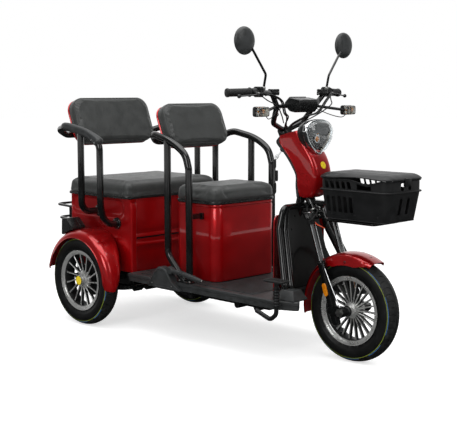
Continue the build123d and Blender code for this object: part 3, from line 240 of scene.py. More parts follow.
# Soft handlebar rubber: black, matt.
rubber = finish("grip_rubber", {"IOR": 1.5}, ("#111212", "#1c1d1d"), 12,
                rough=(0.5, 0.65), relief=(1.0, 0.06, 1.0, 0.6))
# Machined aluminium: bright, faintly warm, its fine turning lines drawn coarse to show.
alloy = finish("turned_alloy", {"Metallic": 0.78}, ("#dcddda", "#ececea"), 30,
               rough=(0.24, 0.34), relief=(2.5, 0.008, 1.0, 0.3))
# Decorative chrome plate: near mirror, slightly blue.
chrome = finish("bright_chrome", {"Metallic": 1.0}, ("#d7d9da", "#e4e6e7"), 40,
                rough=(0.05, 0.1), relief=(12, 0.01, 1.0))
# Zinc-plated steel of axles and nuts: grey metal with a soft spangle.
zinc = finish("zinc_steel", {"Metallic": 1.0}, ("#8e8f8d", "#b1b2af"), 7, 4.0,
              (0.28, 0.42), (2.0, 0.02, 2.0))
# Painted cast iron of drums, axle and motor: dull black, pitted.
iron = finish("drum_iron", {"IOR": 1.5}, ("#161717", "#242525"), 14, 6.0,
              (0.4, 0.6), (3.0, 0.15, 4.0, 0.7))
# Clear polycarbonate lamp cover: hard, glossy, hardly tinted.
clear_lens = finish("clear_polycarbonate",
                    {"Base Color": colour("#f4f7f8"), "Transmission Weight": 1.0,
                     "IOR": 1.58, "Roughness": 0.02}, relief=(14, 0.02, 1.0))
# Moulded amber acrylic: 3 mm prism cells under a glossy face.
amber = finish("amber_acrylic", {"Roughness": 0.12, "IOR": 1.49, "Transmission Weight": 0.15,
                                 "Coat Weight": 0.6, "Coat Roughness": 0.03},
               ("#d2730c", "#ef9a1c"), 5, 1.0, cells=("F1", 3.0, 0.4))
# Tail lamp acrylic: dark see-through red over its reflector.
tail_red = finish("red_acrylic", {"Roughness": 0.1, "IOR": 1.49, "Transmission Weight": 0.25,
                                  "Coat Weight": 0.8, "Coat Roughness": 0.03},
                  ("#7c070b", "#a30d12"), 8, 1.0, relief=(3.0, 0.25, 0.0, 0.6))
# Silvered convex glass.
mirror_face = finish("mirror_glass", {"Metallic": 1.0, "Base Color": colour("#dfe3e5"),
                                      "Roughness": 0.02}, relief=(60, 0.01, 0.0))
# Plain vinyl disc: flat strong yellow with a light gloss.
sticker_yellow = finish("yellow_vinyl", {"IOR": 1.5}, ("#e3c512", "#efd422"), 6,
                        rough=(0.25, 0.35))
# Paint lines on a tyre: dull, a bit uneven.
tyre_blue = finish("tyre_blue_line", {"IOR": 1.5, "Roughness": 0.6}, ("#2d5f9e", "#3c74b4"), 6)
tyre_green = finish("tyre_green_line", {"IOR": 1.5, "Roughness": 0.6}, ("#7f8f1e", "#93a32a"), 6)
# Smoked acrylic over the display: very dark, very glossy.
dark_glass = finish("display_glass", {"IOR": 1.49, "Roughness": 0.04, "Coat Weight": 0.5},
                    ("#05070a", "#0b1016"), 30)

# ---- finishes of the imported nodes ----
NODE_FINISHES = (
    (tube_black, "main_frame rear_springs front_seat_frame rear_seat_frame rear_rack "
                 "leg_guard basket_support front_fork handlebar brake_levers"),
    (charcoal, "floor_deck armrest_sleeves handbrake_console handbrake_lever"),
    (iron, "rear_axle"),
    (candy_red, "front_seat_box front_backrest_shell rear_backrest_shell rear_body "
                "rear_fender_right rear_fender_left front_apron front_cowl front_fender"),
    (matt_black, "battery_pack rear_box brake_pedal leg_shield cowl_rear_cover basket "
                 "control_boxes dash_display basket_lid"),
    (leathercloth, "front_backrest_pad rear_backrest_pad front_seat_cushion "
                   "rear_seat_cushion"),
    (smooth_black, "tail_lights headlight_bucket mirror_right mirror_left turn_signals"),
    (zinc, "ignition_key front_axle"),
    (clear_lens, "headlight_lens"),
    (rubber, "handlebar_grips control_cables"),
    (tyre_wall, "front_tyre rear_tyre_right rear_tyre_left"),
    (alloy, "front_rim rear_rim_right rear_rim_left"),
)
for node_finish, node_names in NODE_FINISHES:
    for node_name in node_names.split():
        if node_name in frame["nodes"]:
            packed = frame["nodes"][node_name]
            packed.data.materials.clear()
            packed.data.materials.append(node_finish)

# ---- making pieces ----
def piece(name, bm, finishes, body, stands_for=(), bevel=0.0, divide=0, crease=38):
    """Turns a mesh in the making into a named piece that rides on a body."""
    bmesh.ops.remove_doubles(bm, verts=bm.verts, dist=2e-6)
    bmesh.ops.dissolve_degenerate(bm, edges=bm.edges, dist=1e-6)
    bmesh.ops.recalc_face_normals(bm, faces=bm.faces)
    mesh = bpy.data.meshes.new(name)
    bm.to_mesh(mesh)
    bm.free()
    return finished(name, mesh, finishes, body, stands_for, bevel, divide, crease)


def finished(name, mesh, finishes, body, stands_for=(), bevel=0.0, divide=0,
             crease=38):
    """A named object of a mesh, with its finishes, rounding and body."""
    for surface in finishes if isinstance(finishes, (list, tuple)) else [finishes]:
        mesh.materials.append(surface)
    mesh.shade_smooth()
    made = bpy.data.objects.new(name, mesh)
    bpy.context.scene.collection.objects.link(made)
    if bevel:
        rounding = made.modifiers.new("rounding", "BEVEL")
        rounding.width = bevel * MM
        rounding.segments = 2
        rounding.limit_method = "ANGLE"
        rounding.angle_limit = math.radians(32)
        rounding.harden_normals = True
    elif not divide:
        mesh.set_sharp_from_angle(angle=math.radians(crease))
    if divide:
        finer = made.modifiers.new("finer", "SUBSURF")
        finer.levels = finer.render_levels = divide
    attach(made, body)
    if stands_for:
        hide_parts(*stands_for)
    return made


def skin(bm, rings, around=True, caps=(False, False), index=0, joined=False):
    """Faces between rings of points. index is a finish, or says which by ring and step."""
    rows = [[bm.verts.new(point) for point in ring] for ring in rings]
    count = len(rows[0])
    follow = rows[1:] + ([rows[0]] if joined else [])
    for ring_no, (low, high) in enumerate(zip(rows, follow)):
        for step in range(count if around else count - 1):
            nxt = (step + 1) % count
            face = bm.faces.new((low[step], low[nxt], high[nxt], high[step]))
            face.material_index = index(ring_no, step) if callable(index) else index
    for wanted, row, ring_no in zip(caps, (rows[0], rows[-1]), (0, len(rows) - 1)):
        if wanted:
            face = bm.faces.new(row)
            face.material_index = index(ring_no, 0) if callable(index) else index
    return rows


def turned(bm, profile, centre, axis=(0, 1, 0), steps=64, index=0, joined=False,
           caps=(False, False)):
    """A profile of (radius, distance along) in millimetres, turned round an axis."""
    turn = Vector((0, 0, 1)).rotation_difference(Vector(axis)).to_matrix()
    angles = [2 * math.pi * step / steps for step in range(steps)]
    rings = [[centre + turn @ Vector((r * math.cos(a), r * math.sin(a), along)) * MM
              for a in angles] for r, along in profile]
    return skin(bm, rings, caps=caps, index=index, joined=joined)


def rounded_path(corners, bend, steps=7):
    """Points along straight runs whose corners are rounded; bend is one radius or one each."""
    bends = bend if isinstance(bend, list) else [bend] * (len(corners) - 2)
    points = [corners[0]]
    for before, corner, after, bend in zip(corners, corners[1:], corners[2:], bends):
        back, ahead = (before - corner).normalized(), (after - corner).normalized()
        half = back.angle(ahead) / 2
        reach = min(bend * MM / math.tan(half), 0.49 * (before - corner).length,
                    0.49 * (after - corner).length)
        radius = reach * math.tan(half)
        middle = corner + (back + ahead).normalized() * radius / math.sin(half)
        first, last = corner + back * reach - middle, corner + ahead * reach - middle
        points += [middle + first.slerp(last, step / steps) * radius for step in range(steps + 1)]
    return points + [corners[-1]]


def tube(bm, path, radius, steps=14, index=0, squeeze=1.0, closed=False):
    """A round bar along points; radius in millimetres, one for all or one each."""
    radii = radius if isinstance(radius, (list, tuple)) else [radius] * len(path)
    count = len(path)
    heading = (path[1] - path[0]).normalized()
    side = heading.orthogonal().normalized()
    if abs(heading.z) < 0.9:
        side = heading.cross(Vector((0, 0, 1))).normalized()
    rings = []
    for number, (point, reach) in enumerate(zip(path, radii)):
        before = path[(number - 1) % count] if closed else path[max(number - 1, 0)]
        after = path[(number + 1) % count] if closed else path[min(number + 1, count - 1)]
        heading = (after - before).normalized()
        side = (side - heading * side.dot(heading)).normalized()
        other = heading.cross(side)
        rings.append([point + (side * math.cos(a) + other * math.sin(a) * squeeze) * reach * MM
                      for a in (2 * math.pi * s / steps for s in range(steps))])
    return skin(bm, rings, caps=(not closed, not closed), index=index, joined=closed)


def rounded_rect(half_x, half_y, corner, steps=6):
    """A rounded rectangle's outline as flat points, in millimetres."""
    points = []
    for number, (sx, sy) in enumerate(((1, 1), (-1, 1), (-1, -1), (1, -1))):
        for step in range(steps + 1):
            a = math.radians(90 * (number + step / steps))
            points.append((sx * (half_x - corner) + corner * math.cos(a),
                           sy * (half_y - corner) + corner * math.sin(a)))
    return points


def stack(bm, layers, put, caps=(True, True), index=0):
    """Outlines laid on each other; put turns (x, y, depth) in millimetres into a place."""
    rings = [[put(x, y, depth) for x, y in outline] for outline, depth in layers]
    return skin(bm, rings, caps=caps, index=index)


def scaled(outline, across, up, about=(0, 0)):
    """An outline shrunk or grown about a point."""
    return [(x * across + (1 - across) * about[0], y * up + (1 - up) * about[1])
            for x, y in outline]


def radians(*turns):
    """Angles given in degrees."""
    return [math.radians(turn) for turn in turns]


def block(bm, low, high, put=None, index=0):
    """A box between two corners in millimetres, placed by put."""
    put = put or (lambda x, y, z: Vector((x, y, z)) * MM)
    outline = [(low[0], low[1]), (high[0], low[1]), (high[0], high[1]), (low[0], high[1])]
    return stack(bm, [(outline, low[2]), (outline, high[2])], put, index=index)


def screw_head(bm, place, axis, radius=5.0, tall=2.4, index=0):
    """A domed screw head with a hexagon socket, standing on a surface."""
    axis = Vector(axis).normalized()
    profile = [(radius, 0), (radius * 0.97, tall * 0.55), (radius * 0.75, tall * 0.92),
               (radius * 0.5, tall), (radius * 0.5, tall * 0.3), (0.01, tall * 0.3)]
    turned(bm, profile, place, axis, steps=18, index=index, caps=(True, True))

# ---- wheels ----
TYRE_R, FLANGE_R, BEAD_R = 207.5, 139.5, 128.0
WHEEL_AXIS = Vector((0, 1, 0))


def wheel_point(hub, angle, radius, across):
    """A point of a wheel by angle, radius and distance across, in millimetres."""
    return hub + Vector((radius * math.cos(angle), across, radius * math.sin(angle))) * MM


def tyre_piece(name, hub, body, node_name):
    """A street tyre: waved slanting sipes, a zigzag middle groove and painted wall lines."""
    sipes, groove = 48, 2.6
    crown = [(w, TYRE_R - 12 * (w / 33.6) ** 2) for w in (0, 1.2, 2.6, 5, 9, 14, 20, 26, 30.5)]
    wall = [(33.2, 195.6), (34.8, 193.2), (35.6, 191.6), (36.4, 189.6), (37.0, 188.0),
            (38.6, 182.5), (39.6, 176), (40, 170.5), (39.7, 164), (38.9, 158), (38.5, 156.5),
            (37.4, 155), (35.6, 149.5), (33, 144.5), (30.6, 141.6), (29.7, 140.2),
            (29.7, BEAD_R + 0.3)]
    half = crown + wall
    section = [(-w, r) for w, r in reversed(half[1:])] + half
    steps = [(0.0, 0), (0.035, 1), (0.11, 1), (0.145, 0), (0.42, 0), (0.72, 0)]

    def wave(width):
        return 0.05 * math.sin(min(abs(width), 34) / 34 * 2.6) * (1 if width > 0 else 1.15)

    def sunk(width, radius, cut, period):
        reach = abs(width)
        if reach < 1.3:
            return radius - groove
        long_one = period % 2 == 0
        inside = 4 < reach < (33.4 if long_one else 27) and reach > (4 if long_one else 13)
        return radius - groove if cut and inside else radius

    bm = bmesh.new()
    rings = []
    for period in range(sipes):
        for share, cut in steps:
            ring = []
            for width, radius in section:
                turn = (period + share + (0.5 if width > 0 else 0)) * 2 * math.pi / sipes
                if abs(width) > 34.2:
                    turn = (period + share) * 2 * math.pi / sipes
                zigzag = 0.8 * (-1 if period % 2 else 1) if abs(width) < 3 else 0
                ring.append(wheel_point(hub, turn + wave(width),
                                        sunk(width, radius, cut, period), width + zigzag))
            rings.append(ring)
    outer = len(section) - len(wall)

    def finish_of(ring_no, step):
        place = step - outer if step >= outer else len(wall) - 2 - step
        if 0 <= place and place == 1 and ring_no // len(steps) % 5 < 3:
            return 2
        if place == 3:
            return 3
        return 1 if place >= 1 and (step >= outer or step < len(wall) - 1) else 0

    skin(bm, rings, index=finish_of, joined=True)
    return piece(name, bm, [tread, tyre_wall, tyre_blue, tyre_green], body, [node_name],
                 crease=50)


def rim_ring(bm, hub):
    """The rim's flanges and barrel, with a stepped bright edge; 0 bright, 1 black."""
    half = [(35, 139.5), (34.4, 136.6), (33.4, 135.2), (33.6, 132.6), (32.2, 130.6),
            (31.4, 127.2), (30.0, 125.8), (29.4, 122.4), (28.0, 120.4), (24, 118.9)]
    inner = half + [(-w, r) for w, r in reversed(half)]
    outer = [(-31, FLANGE_R), (-30, BEAD_R), (-17, 123), (17, 123), (30, BEAD_R),
             (31, FLANGE_R)]
    bright = set(range(8)) | set(range(11, 19))
    turned(bm, [(r, w) for w, r in inner + outer], hub, steps=120, joined=True,
           index=lambda ring_no, step: 0 if ring_no in bright else 1)


def spoke(bm, hub, angle, stations):
    """One spoke along (radius, turn, width, half depth, offset) stations, bright-faced."""
    rings = []
    for radius, turn, width, deep, offset in stations:
        a = angle + math.radians(turn)
        out = Vector((math.cos(a), 0, math.sin(a)))
        along = Vector((-math.sin(a), 0, math.cos(a)))
        w, d = width / 2, deep
        section = [(-w, 1.2 - d), (1.0 - w, -d), (w - 1.0, -d), (w, 1.2 - d),
                   (w, d - 1.2), (w - 1.0, d), (1.0 - w, d), (-w, d - 1.2)]
        rings.append([hub + (out * radius + along * u + WHEEL_AXIS * (v + offset)) * MM
                      for u, v in section])
    skin(bm, rings, caps=(True, True), index=lambda ring_no, step: 1 if step in (3, 7) else 0)


def front_rim_piece(hub):
    """Twenty-two straight machined spokes round a wide turned hub."""
    spokes = 22
    bm = bmesh.new()
    rim_ring(bm, hub)
    for number in range(spokes):
        spoke(bm, hub, 2 * math.pi * number / spokes,
              [(27, 0, 6.6, 13, 0), (45, 0, 5.4, 11, 0), (85, 0, 5.2, 9, 0),
               (112, 0, 6.4, 9, 0), (120.5, 0, 9.5, 9, 0)])
    turned(bm, [(12.2, -44), (21, -44), (22, -43), (22, -30), (29, -27), (31, -24), (31, -15),
                (29.8, -14), (29.8, 14), (31, 15), (31, 24), (29, 27), (22, 30), (22, 43),
                (21, 44), (12.2, 44)], hub, steps=64, joined=True,
           index=lambda ring_no, step: 1 if ring_no in (0, 1, 13, 14) else 0)
    piece("front_rim_machined", bm, [alloy, iron], "front_wheel", ["front_rim"],
          crease=30)


def rear_rim_piece(side_name):
    """Fifteen swept spokes round a small bolted hub with a plain yellow cap."""
    hub, out = rear_hubs[side_name], SIDES[side_name]
    bm = bmesh.new()
    rim_ring(bm, hub)
    for number in range(15):
        spoke(bm, hub, 2 * math.pi * number / 15,
              [(24, -16, 9.5, 9, out * 6), (42, -10, 7.2, 9, out * 8),
               (64, -4.5, 6.0, 8.5, out * 9), (92, -1.0, 5.6, 8.0, out * 11),
               (112, 0, 6.6, 7.5, out * 13), (120.5, 0.4, 10.5, 7.0, out * 14)])
    turned(bm, [(12.2, -33), (30, -33), (34, -30), (34, -4), (44, 2), (45, 8), (43, 12),
                (35, 13.5), (34, 18), (27, 22), (25.5, 28), (24, 32), (21, 34), (12.2, 34)],
           hub, (0, out, 0), steps=64, joined=True,
           index=lambda ring_no, step: 1 if ring_no < 3 else 0)
    for number in range(5):
        turn = 2 * math.pi * (number + 0.5) / 5
        spot = wheel_point(hub, turn, 38.5, out * 11.5)
        turned(bm, [(4.6, 0), (4.6, 5), (3.4, 6.4), (0.01, 6.6)], spot, (0, out, 0), steps=6,
               index=0, caps=(True, True))
    piece(f"rear_rim_machined_{side_name}", bm, [alloy, iron], f"rear_wheel_{side_name}",
          [f"rear_rim_{side_name}"], crease=30)
    cap = bmesh.new()
    turned(cap, [(14.5, 0), (20.5, 1.5), (21, 5.5), (20, 7.2), (16, 8.4), (10, 9.2),
                 (0.01, 9.6)], wheel_point(hub, 0, 0, out * 33.5), (0, out, 0), steps=48,
           index=lambda ring_no, step: 0 if ring_no < 3 else 1, caps=(True, True))
    piece(f"hub_cap_{side_name}", cap, [chrome, sticker_yellow], f"rear_wheel_{side_name}")


def tyre_valve(name, hub, body, out):
    """A short valve stem on the rim's barrel."""
    bm = bmesh.new()
    start = wheel_point(hub, 4.2, 119, out * 6)
    toward = (hub - start)
    toward.y = 0.012 * out
    turned(bm, [(4, 0), (4, 6), (2.6, 8), (2.6, 20), (3.4, 20.5), (3.4, 27), (0.01, 28)],
           start, toward, steps=14, index=lambda ring_no, step: 0 if ring_no < 2 else 1,
           caps=(True, True))
    return piece(name, bm, [rubber, chrome], body)


tyre_piece("front_tyre_treaded", front_hub, "front_wheel", "front_tyre")
front_rim_piece(front_hub)
tyre_valve("front_valve", front_hub, "front_wheel", -1)
for side_name, side in SIDES.items():
    body = f"rear_wheel_{side_name}"
    tyre_piece(f"rear_tyre_treaded_{side_name}", rear_hubs[side_name], body,
               f"rear_tyre_{side_name}")
    rear_rim_piece(side_name)
    tyre_valve(f"rear_valve_{side_name}", rear_hubs[side_name], body, side)

# ---- seats ----
def plumped(name, bm, voxel, cap, held, pressure=4.0):
    """Blows a closed form up as sewn cloth. held tells which points stay; cap is in mm."""
    bmesh.ops.recalc_face_normals(bm, faces=bm.faces)
    mesh = bpy.data.meshes.new(name)
    bm.to_mesh(mesh)
    bm.free()
    former = bpy.data.objects.new(name + "_form", mesh)
    bpy.context.scene.collection.objects.link(former)
    grid = former.modifiers.new("grid", "REMESH")
    grid.mode = "VOXEL"
    grid.voxel_size = voxel * MM
    bpy.context.view_layer.update()
    view = bpy.context.evaluated_depsgraph_get()
    cloth_mesh = bpy.data.meshes.new_from_object(former.evaluated_get(view))
    bpy.data.objects.remove(former)
    cover = bpy.data.objects.new(name + "_cover", cloth_mesh)
    bpy.context.scene.collection.objects.link(cover)
    rest = [vertex.co.copy() for vertex in cloth_mesh.vertices]
    pinned = cover.vertex_groups.new(name="held")
    pinned.add([i for i, point in enumerate(rest) if held(point)], 1.0, "REPLACE")
    cloth = cover.modifiers.new("cloth", "CLOTH")
    settings = cloth.settings
    settings.quality = 4
    settings.mass = 0.3
    settings.tension_stiffness = settings.compression_stiffness = 12
    settings.bending_stiffness = 1.5
    settings.use_pressure = True
    settings.uniform_pressure_force = pressure
    settings.vertex_group_mass = "held"
    settings.effector_weights.gravity = 0.0
    scene = bpy.context.scene
    for frame_no in range(1, 19):
        scene.frame_set(frame_no)
    view = bpy.context.evaluated_depsgraph_get()
    blown = [vertex.co.copy() for vertex in cover.evaluated_get(view).data.vertices]
    cover.modifiers.remove(cloth)
    scene.frame_set(1)
    for vertex, start, end in zip(cloth_mesh.vertices, rest, blown):
        moved = end - start
        if moved.length > cap * MM:
            moved *= cap * MM / moved.length
        vertex.co = start + moved
    bpy.data.objects.remove(cover)
    return cloth_mesh


def divided(mesh):
    """The same mesh with each face cut in four and smoothed."""
    helper = bpy.data.objects.new("helper", mesh)
    bpy.context.scene.collection.objects.link(helper)
    helper.modifiers.new("finer", "SUBSURF").levels = 1
    view = bpy.context.evaluated_depsgraph_get()
    finer = bpy.data.meshes.new_from_object(helper.evaluated_get(view))
    bpy.data.objects.remove(helper)
    return finer


def bench_cushion(name, node_name, body, x_span, half_w, z_low, thick, corner, edge):
    """A bench cushion: crowned top, soft bulged sides, corner pleats and a seam near its base."""
    middle = (x_span[0] + x_span[1]) / 2
    half_l = (x_span[1] - x_span[0]) / 2

    def put(x, y, depth):
        return Vector((middle + x * MM, y * MM, z_low + depth * MM))

    def layer(inset, depth):
        return (rounded_rect(half_l / MM - inset, half_w - inset, max(corner - inset, 8), 7),
                depth)

    layers = [layer(5, 2), layer(4, 12), layer(2.5, thick * 0.35), layer(3, thick * 0.6)]
    for turn in (15, 35, 55, 75):
        a = math.radians(turn)
        layers.append(layer(3 + edge * (1 - math.cos(a)),
                            thick * 0.6 + (thick * 0.4 - 6) * math.sin(a)))
    layers += [layer(edge + 26, thick - 4), layer(min(edge + 62, half_l / MM - 12), thick - 2)]
    bm = bmesh.new()
    stack(bm, layers, put)
    bmesh.ops.triangulate(bm, faces=[face for face in bm.faces if len(face.verts) > 4])
    blown = divided(plumped(name, bm, 7.0, 7.0, lambda point: point.z < z_low + 13 * MM))
    seam_z = z_low + 15 * MM
    top = z_low + thick * MM
    pleats = [(sx, sy, turn) for sx in (-1, 1) for sy in (-1, 1) for turn in (22, 68)]
    for vertex in blown.vertices:
        co = vertex.co
        into = Vector((middle, 0, co.z)) - co
        if into.length < 1e-6:
            continue
        into.normalize()
        low = math.exp(-((co.z - seam_z) / (3.2 * MM)) ** 2)
        deep = 2.6 * low
        for sx, sy, turn in pleats:
            a = math.radians(turn)
            spot = Vector((middle + sx * (half_l - corner * MM * (1 - math.cos(a))),
                           sy * (half_w - corner * (1 - math.sin(a))) * MM))
            near = (Vector((co.x, co.y)) - spot).length
            rise = max(0.0, min(1.0, (top - 20 * MM - co.z) / (thick * 0.5 * MM)))
            deep += 2.4 * math.exp(-(near / (5.5 * MM)) ** 2) * rise
        co += into * deep * MM
        wave = noise.noise(co * 9.0) * 1.4
        if co.z > z_low + 20 * MM:
            co.z += wave * MM
        co.z = min(co.z, top + 1.5 * MM)
        co.z = max(co.z, z_low)
    made = finished(name, blown, leathercloth, body, [node_name], crease=80)
    band = bmesh.new()
    rim = [(8, 0.6), (2, 0.6), (0.4, 2.4), (0.2, 8), (1.2, 11.4), (3.4, 12.6), (8, 12.6)]
    rings = [[put(x, y, depth) for x, y in rounded_rect(half_l / MM - inset, half_w - inset,
                                                       corner - inset, 8)]
             for inset, depth in rim]
    skin(band, rings, joined=True)
    piece(name + "_base_band", band, smooth_black, body, crease=30)


front_seat_x = from_rear(FRONT_BOX_AHEAD, 0, 0).x
bench_cushion("front_cushion_upholstered", "front_seat_cushion", "front_seat",
              (front_seat_x - 130.5 * MM, front_seat_x + 132.5 * MM), 196.0,
              deck_top + 331.3 * MM, 76.0, 45.0, 24.0)
bench_cushion("rear_cushion_upholstered", "rear_seat_cushion", "rear_seat",
              (from_rear(-208, 0, 0).x, from_rear(244, 0, 0).x), 290.0,
              deck_top + 328.3 * MM, 78.0, 42.0, 26.0)


def leaning(ahead, rise, lean):
    """Places points on a backrest: across, up its face and out from it, in millimetres."""
    face = from_rear(ahead, 0, rise)
    a = math.radians(lean)
    out = Vector((math.cos(a), 0, math.sin(a)))
    upward = Vector((-math.sin(a), 0, math.cos(a)))
    return lambda across, up, depth: (face + Vector((0, across, 0)) * MM
                                      + upward * up * MM + out * depth * MM)


def backrest(name, put, half_w, half_h, corner):
    """A backrest: padded vinyl front with piping, on a red moulded shell."""
    def layer(inset, depth):
        return (rounded_rect(half_w - inset, half_h - inset, max(corner - inset, 10), 10), depth)

    bm = bmesh.new()
    stack(bm, [layer(4, -51), layer(0, -46), layer(-1.5, -24), layer(-0.5, -10), layer(1.5, -6),
               layer(5, -2), layer(12, -0.5), layer(60, 1)], put)
    bmesh.ops.triangulate(bm, faces=[face for face in bm.faces if len(face.verts) > 4])
    origin, out = put(0, 0, 0), (put(0, 0, 1) - put(0, 0, 0)).normalized()

    def near_shell(point):
        return (point - origin).dot(out) < -46 * MM

    blown = divided(plumped(name, bm, 5.0, 3.0, near_shell, 2.0))
    across_dir = Vector((0, 1, 0))
    up_dir = (put(0, 1, 0) - origin).normalized()
    for vertex in blown.vertices:
        local = vertex.co - origin
        depth = local.dot(out) / MM
        inward = -(across_dir * local.dot(across_dir) / half_w
                   + up_dir * local.dot(up_dir) / half_h)
        inward = inward.normalized() if inward.length > 1e-6 else Vector()
        groove = 1.8 * math.exp(-((depth + 7) / 2.4) ** 2) + 1.6 * math.exp(
            -((depth + 45) / 2.4) ** 2)
        vertex.co += inward * groove * MM
        vertex.co += out * noise.noise(vertex.co * 11.0) * 0.8 * MM
        over = (vertex.co - origin).dot(out)
        if over > 2.5 * MM:
            vertex.co -= out * (over - 2.5 * MM)
    made = finished(name + "_backrest_upholstered", blown, leathercloth, "chassis",
                    [name + "_backrest_pad"], crease=80)
    skin_tree = BVHTree.FromPolygons([vertex.co for vertex in blown.vertices],
                                     [face.vertices for face in blown.polygons])
    for label, depth in (("front", -6.0), ("rear", -45.0)):
        cord = bmesh.new()
        ring = [put(x, y, depth) for x, y in rounded_rect(half_w, half_h, corner, 11)]
        surface = [skin_tree.find_nearest(point) for point in ring]
        tube(cord, [found[0] + found[1] * 0.4 * MM for found in surface], 1.7, steps=8,
             closed=True)
        piece(f"{name}_backrest_{label}_piping", cord, leathercloth, "chassis")
    shell = bmesh.new()
    layers = [layer(9, -50.5), layer(1, -50.5), layer(-1.5, -53.5), layer(-1.5, -57),
              layer(2, -61), layer(9, -64), layer(22, -66.5), layer(48, -68), layer(80, -68.2)]
    stack(shell, layers, put)
    piece(name + "_backrest_back", shell, candy_red, "chassis", [name + "_backrest_shell"],
          crease=34)
    for across in (-0.45, 0.45):
        bolts = bmesh.new()
        for up in (-0.5, 0.5):
            screw_head(bolts, put(across * half_w, up * half_h - 10, -67.5), -out, 7, 3.0)
        piece(f"{name}_backrest_bolts_{'left' if across > 0 else 'right'}", bolts, zinc,
              "chassis")


backrest("front", leaning(393, 668, 22.0), 181.0, 96.5, 54.0)
backrest("rear", leaning(-183, 676, 20.6), 232.0, 111.0, 60.0)

# ---- painted body ----
def front_box_piece():
    """The rider's seat box: an open painted tub with a pressed lip under the cushion."""
    def put(x, y, depth):
        return from_rear(FRONT_BOX_AHEAD + x, y, depth)

    def layer(inset, depth):
        return rounded_rect(130.5 - inset, 187 - inset, 42 - inset, 8), depth

    bm = bmesh.new()
    layers = [layer(3, 0.4), layer(0, 3), layer(0, 160), layer(0, 311), layer(1.6, 313.5),
              layer(2.0, 318), layer(1.4, 320.5), layer(0, 322), layer(0, 329), layer(1.2, 331),
              layer(4, 331), layer(5, 310), layer(5, 5)]
    stack(bm, layers, put)
    piece("front_seat_tub", bm, candy_red, "chassis", ["front_seat_box"])


def body_outline(rise):
    """Half the rear body's plan at a height, from the back's middle to the front's middle."""
    back, front, half = BODY_BACK, BODY_FRONT, BODY_HALF_W
    share = max(0.0, min(1.0, (rise - 283.0) / 30))
    nose = front + 10 - 9.0 * (1 - math.sqrt(max(0.0, 1 - share * share)))
    points = [(back, 0.0), (back, 120.0), (back, half - 20)]
    points += [(back + 20 * (1 - math.cos(a)), half - 20 + 20 * math.sin(a))
               for a in radians(22, 45, 68)]
    points += [(x, half) for x in range(int(back) + 20, int(front) - 1, 8)]
    corner = min(7.0, max(1.5, nose - front - 1))
    points += [(nose - corner + corner * math.sin(a), half - corner + corner * math.cos(a))
               for a in radians(0, 30, 60, 90)]
    points += [(nose, half - 27), (nose - 3, half - 31), (front + 1, half - 32), (front, half - 36),
               (front, 150.0), (front, 75.0), (front, 0.0)]
    return points


def body_relief(x, y, rise):
    """How far the body's side is pressed in at a place: a long rounded panel."""
    if y <= 261:
        return 0.0
    reach_x, reach_z, corner = 195.0, 45.0, 40.0
    off_x = abs(x + 6) - (reach_x - corner)
    off_z = abs(rise - 281) - (reach_z - corner)
    gap = math.hypot(max(off_x, 0), max(off_z, 0)) + min(max(off_x, off_z), 0) - corner
    return 4.0 * max(0.0, min(1.0, -gap / 12))


FRONT_CREASES = {108: 0, 111: -1.5, 114: -2.2, 121: -2.2, 124: -1.5, 127: 0.8, 143: 0.8,
                 145.5: 0, 146.5: 7, 151.5: 7, 152.5: 0, 164: 0, 167: 1.2, 171: 1.2, 174: 0}


def rear_body_piece():
    """The rear body: sides pressed in, rounded front corners, a creased front with a slot painted
    dark as shade.
    """
    heights = sorted({-6, -3, 20, 79, *FRONT_CREASES, 200, 226, 232, 238, 244, 250, 258, 268,
                      278, 283, 287, 291, 295, 299, 303, 306, 309, 311.5, 313, 316, 320, 324,
                      327, 328})
    rings = []
    for rise in heights:
        tuck = 3 if rise == -6 else 1.5 if rise == 328 else 0
        half = []
        for x, y in body_outline(rise):
            sink = body_relief(x, y, rise)
            on_front = x >= BODY_FRONT - 0.1
            sunk_x = FRONT_CREASES.get(rise, 0) if on_front and y < 227 else 0
            half.append((x - sunk_x - (tuck if x > 200 else -tuck if x < -210 else 0),
                         y - sink - (tuck if y > 200 else 0)))
        ring = half + [(x, -y) for x, y in reversed(half[1:-1])]
        rings.append([from_rear(x, y, rise) for x, y in ring])
    outline = body_outline(0)

    def inside(point, rise):
        return from_rear(max(-209, min(221, point[0])), max(-254, min(254, point[1])), rise)

    plan = outline + [(x, -y) for x, y in reversed(outline[1:-1])]
    rings += [[inside(point, rise) for point in plan] for rise in (328, 84)]
    under = [[inside(point, rise) for point in plan] for rise in (78, -6)]
    bm = bmesh.new()
    # The slot's walls and floor take the matt black finish: painted shade inside the sunk groove.
    slot_rows = {heights.index(146.5), heights.index(145.5), heights.index(151.5)}
    front_steps = {number for number, (x, y) in enumerate(plan)
                   if x >= BODY_FRONT - 0.1 and abs(y) < 228}
    skin(bm, under + rings, caps=(True, True),
         index=lambda row, step: 1 if row - 2 in slot_rows and step in front_steps else 0)
    bmesh.ops.dissolve_degenerate(bm, dist=1e-6, edges=bm.edges)
    piece("rear_body_shell", bm, [candy_red, matt_black], "chassis", ["rear_body"],
          crease=32)


def arch_point(hub, angle, across, radius):
    """A point round a wheel: angle in degrees from straight ahead over the top."""
    return wheel_point(hub, math.radians(angle), radius, across)


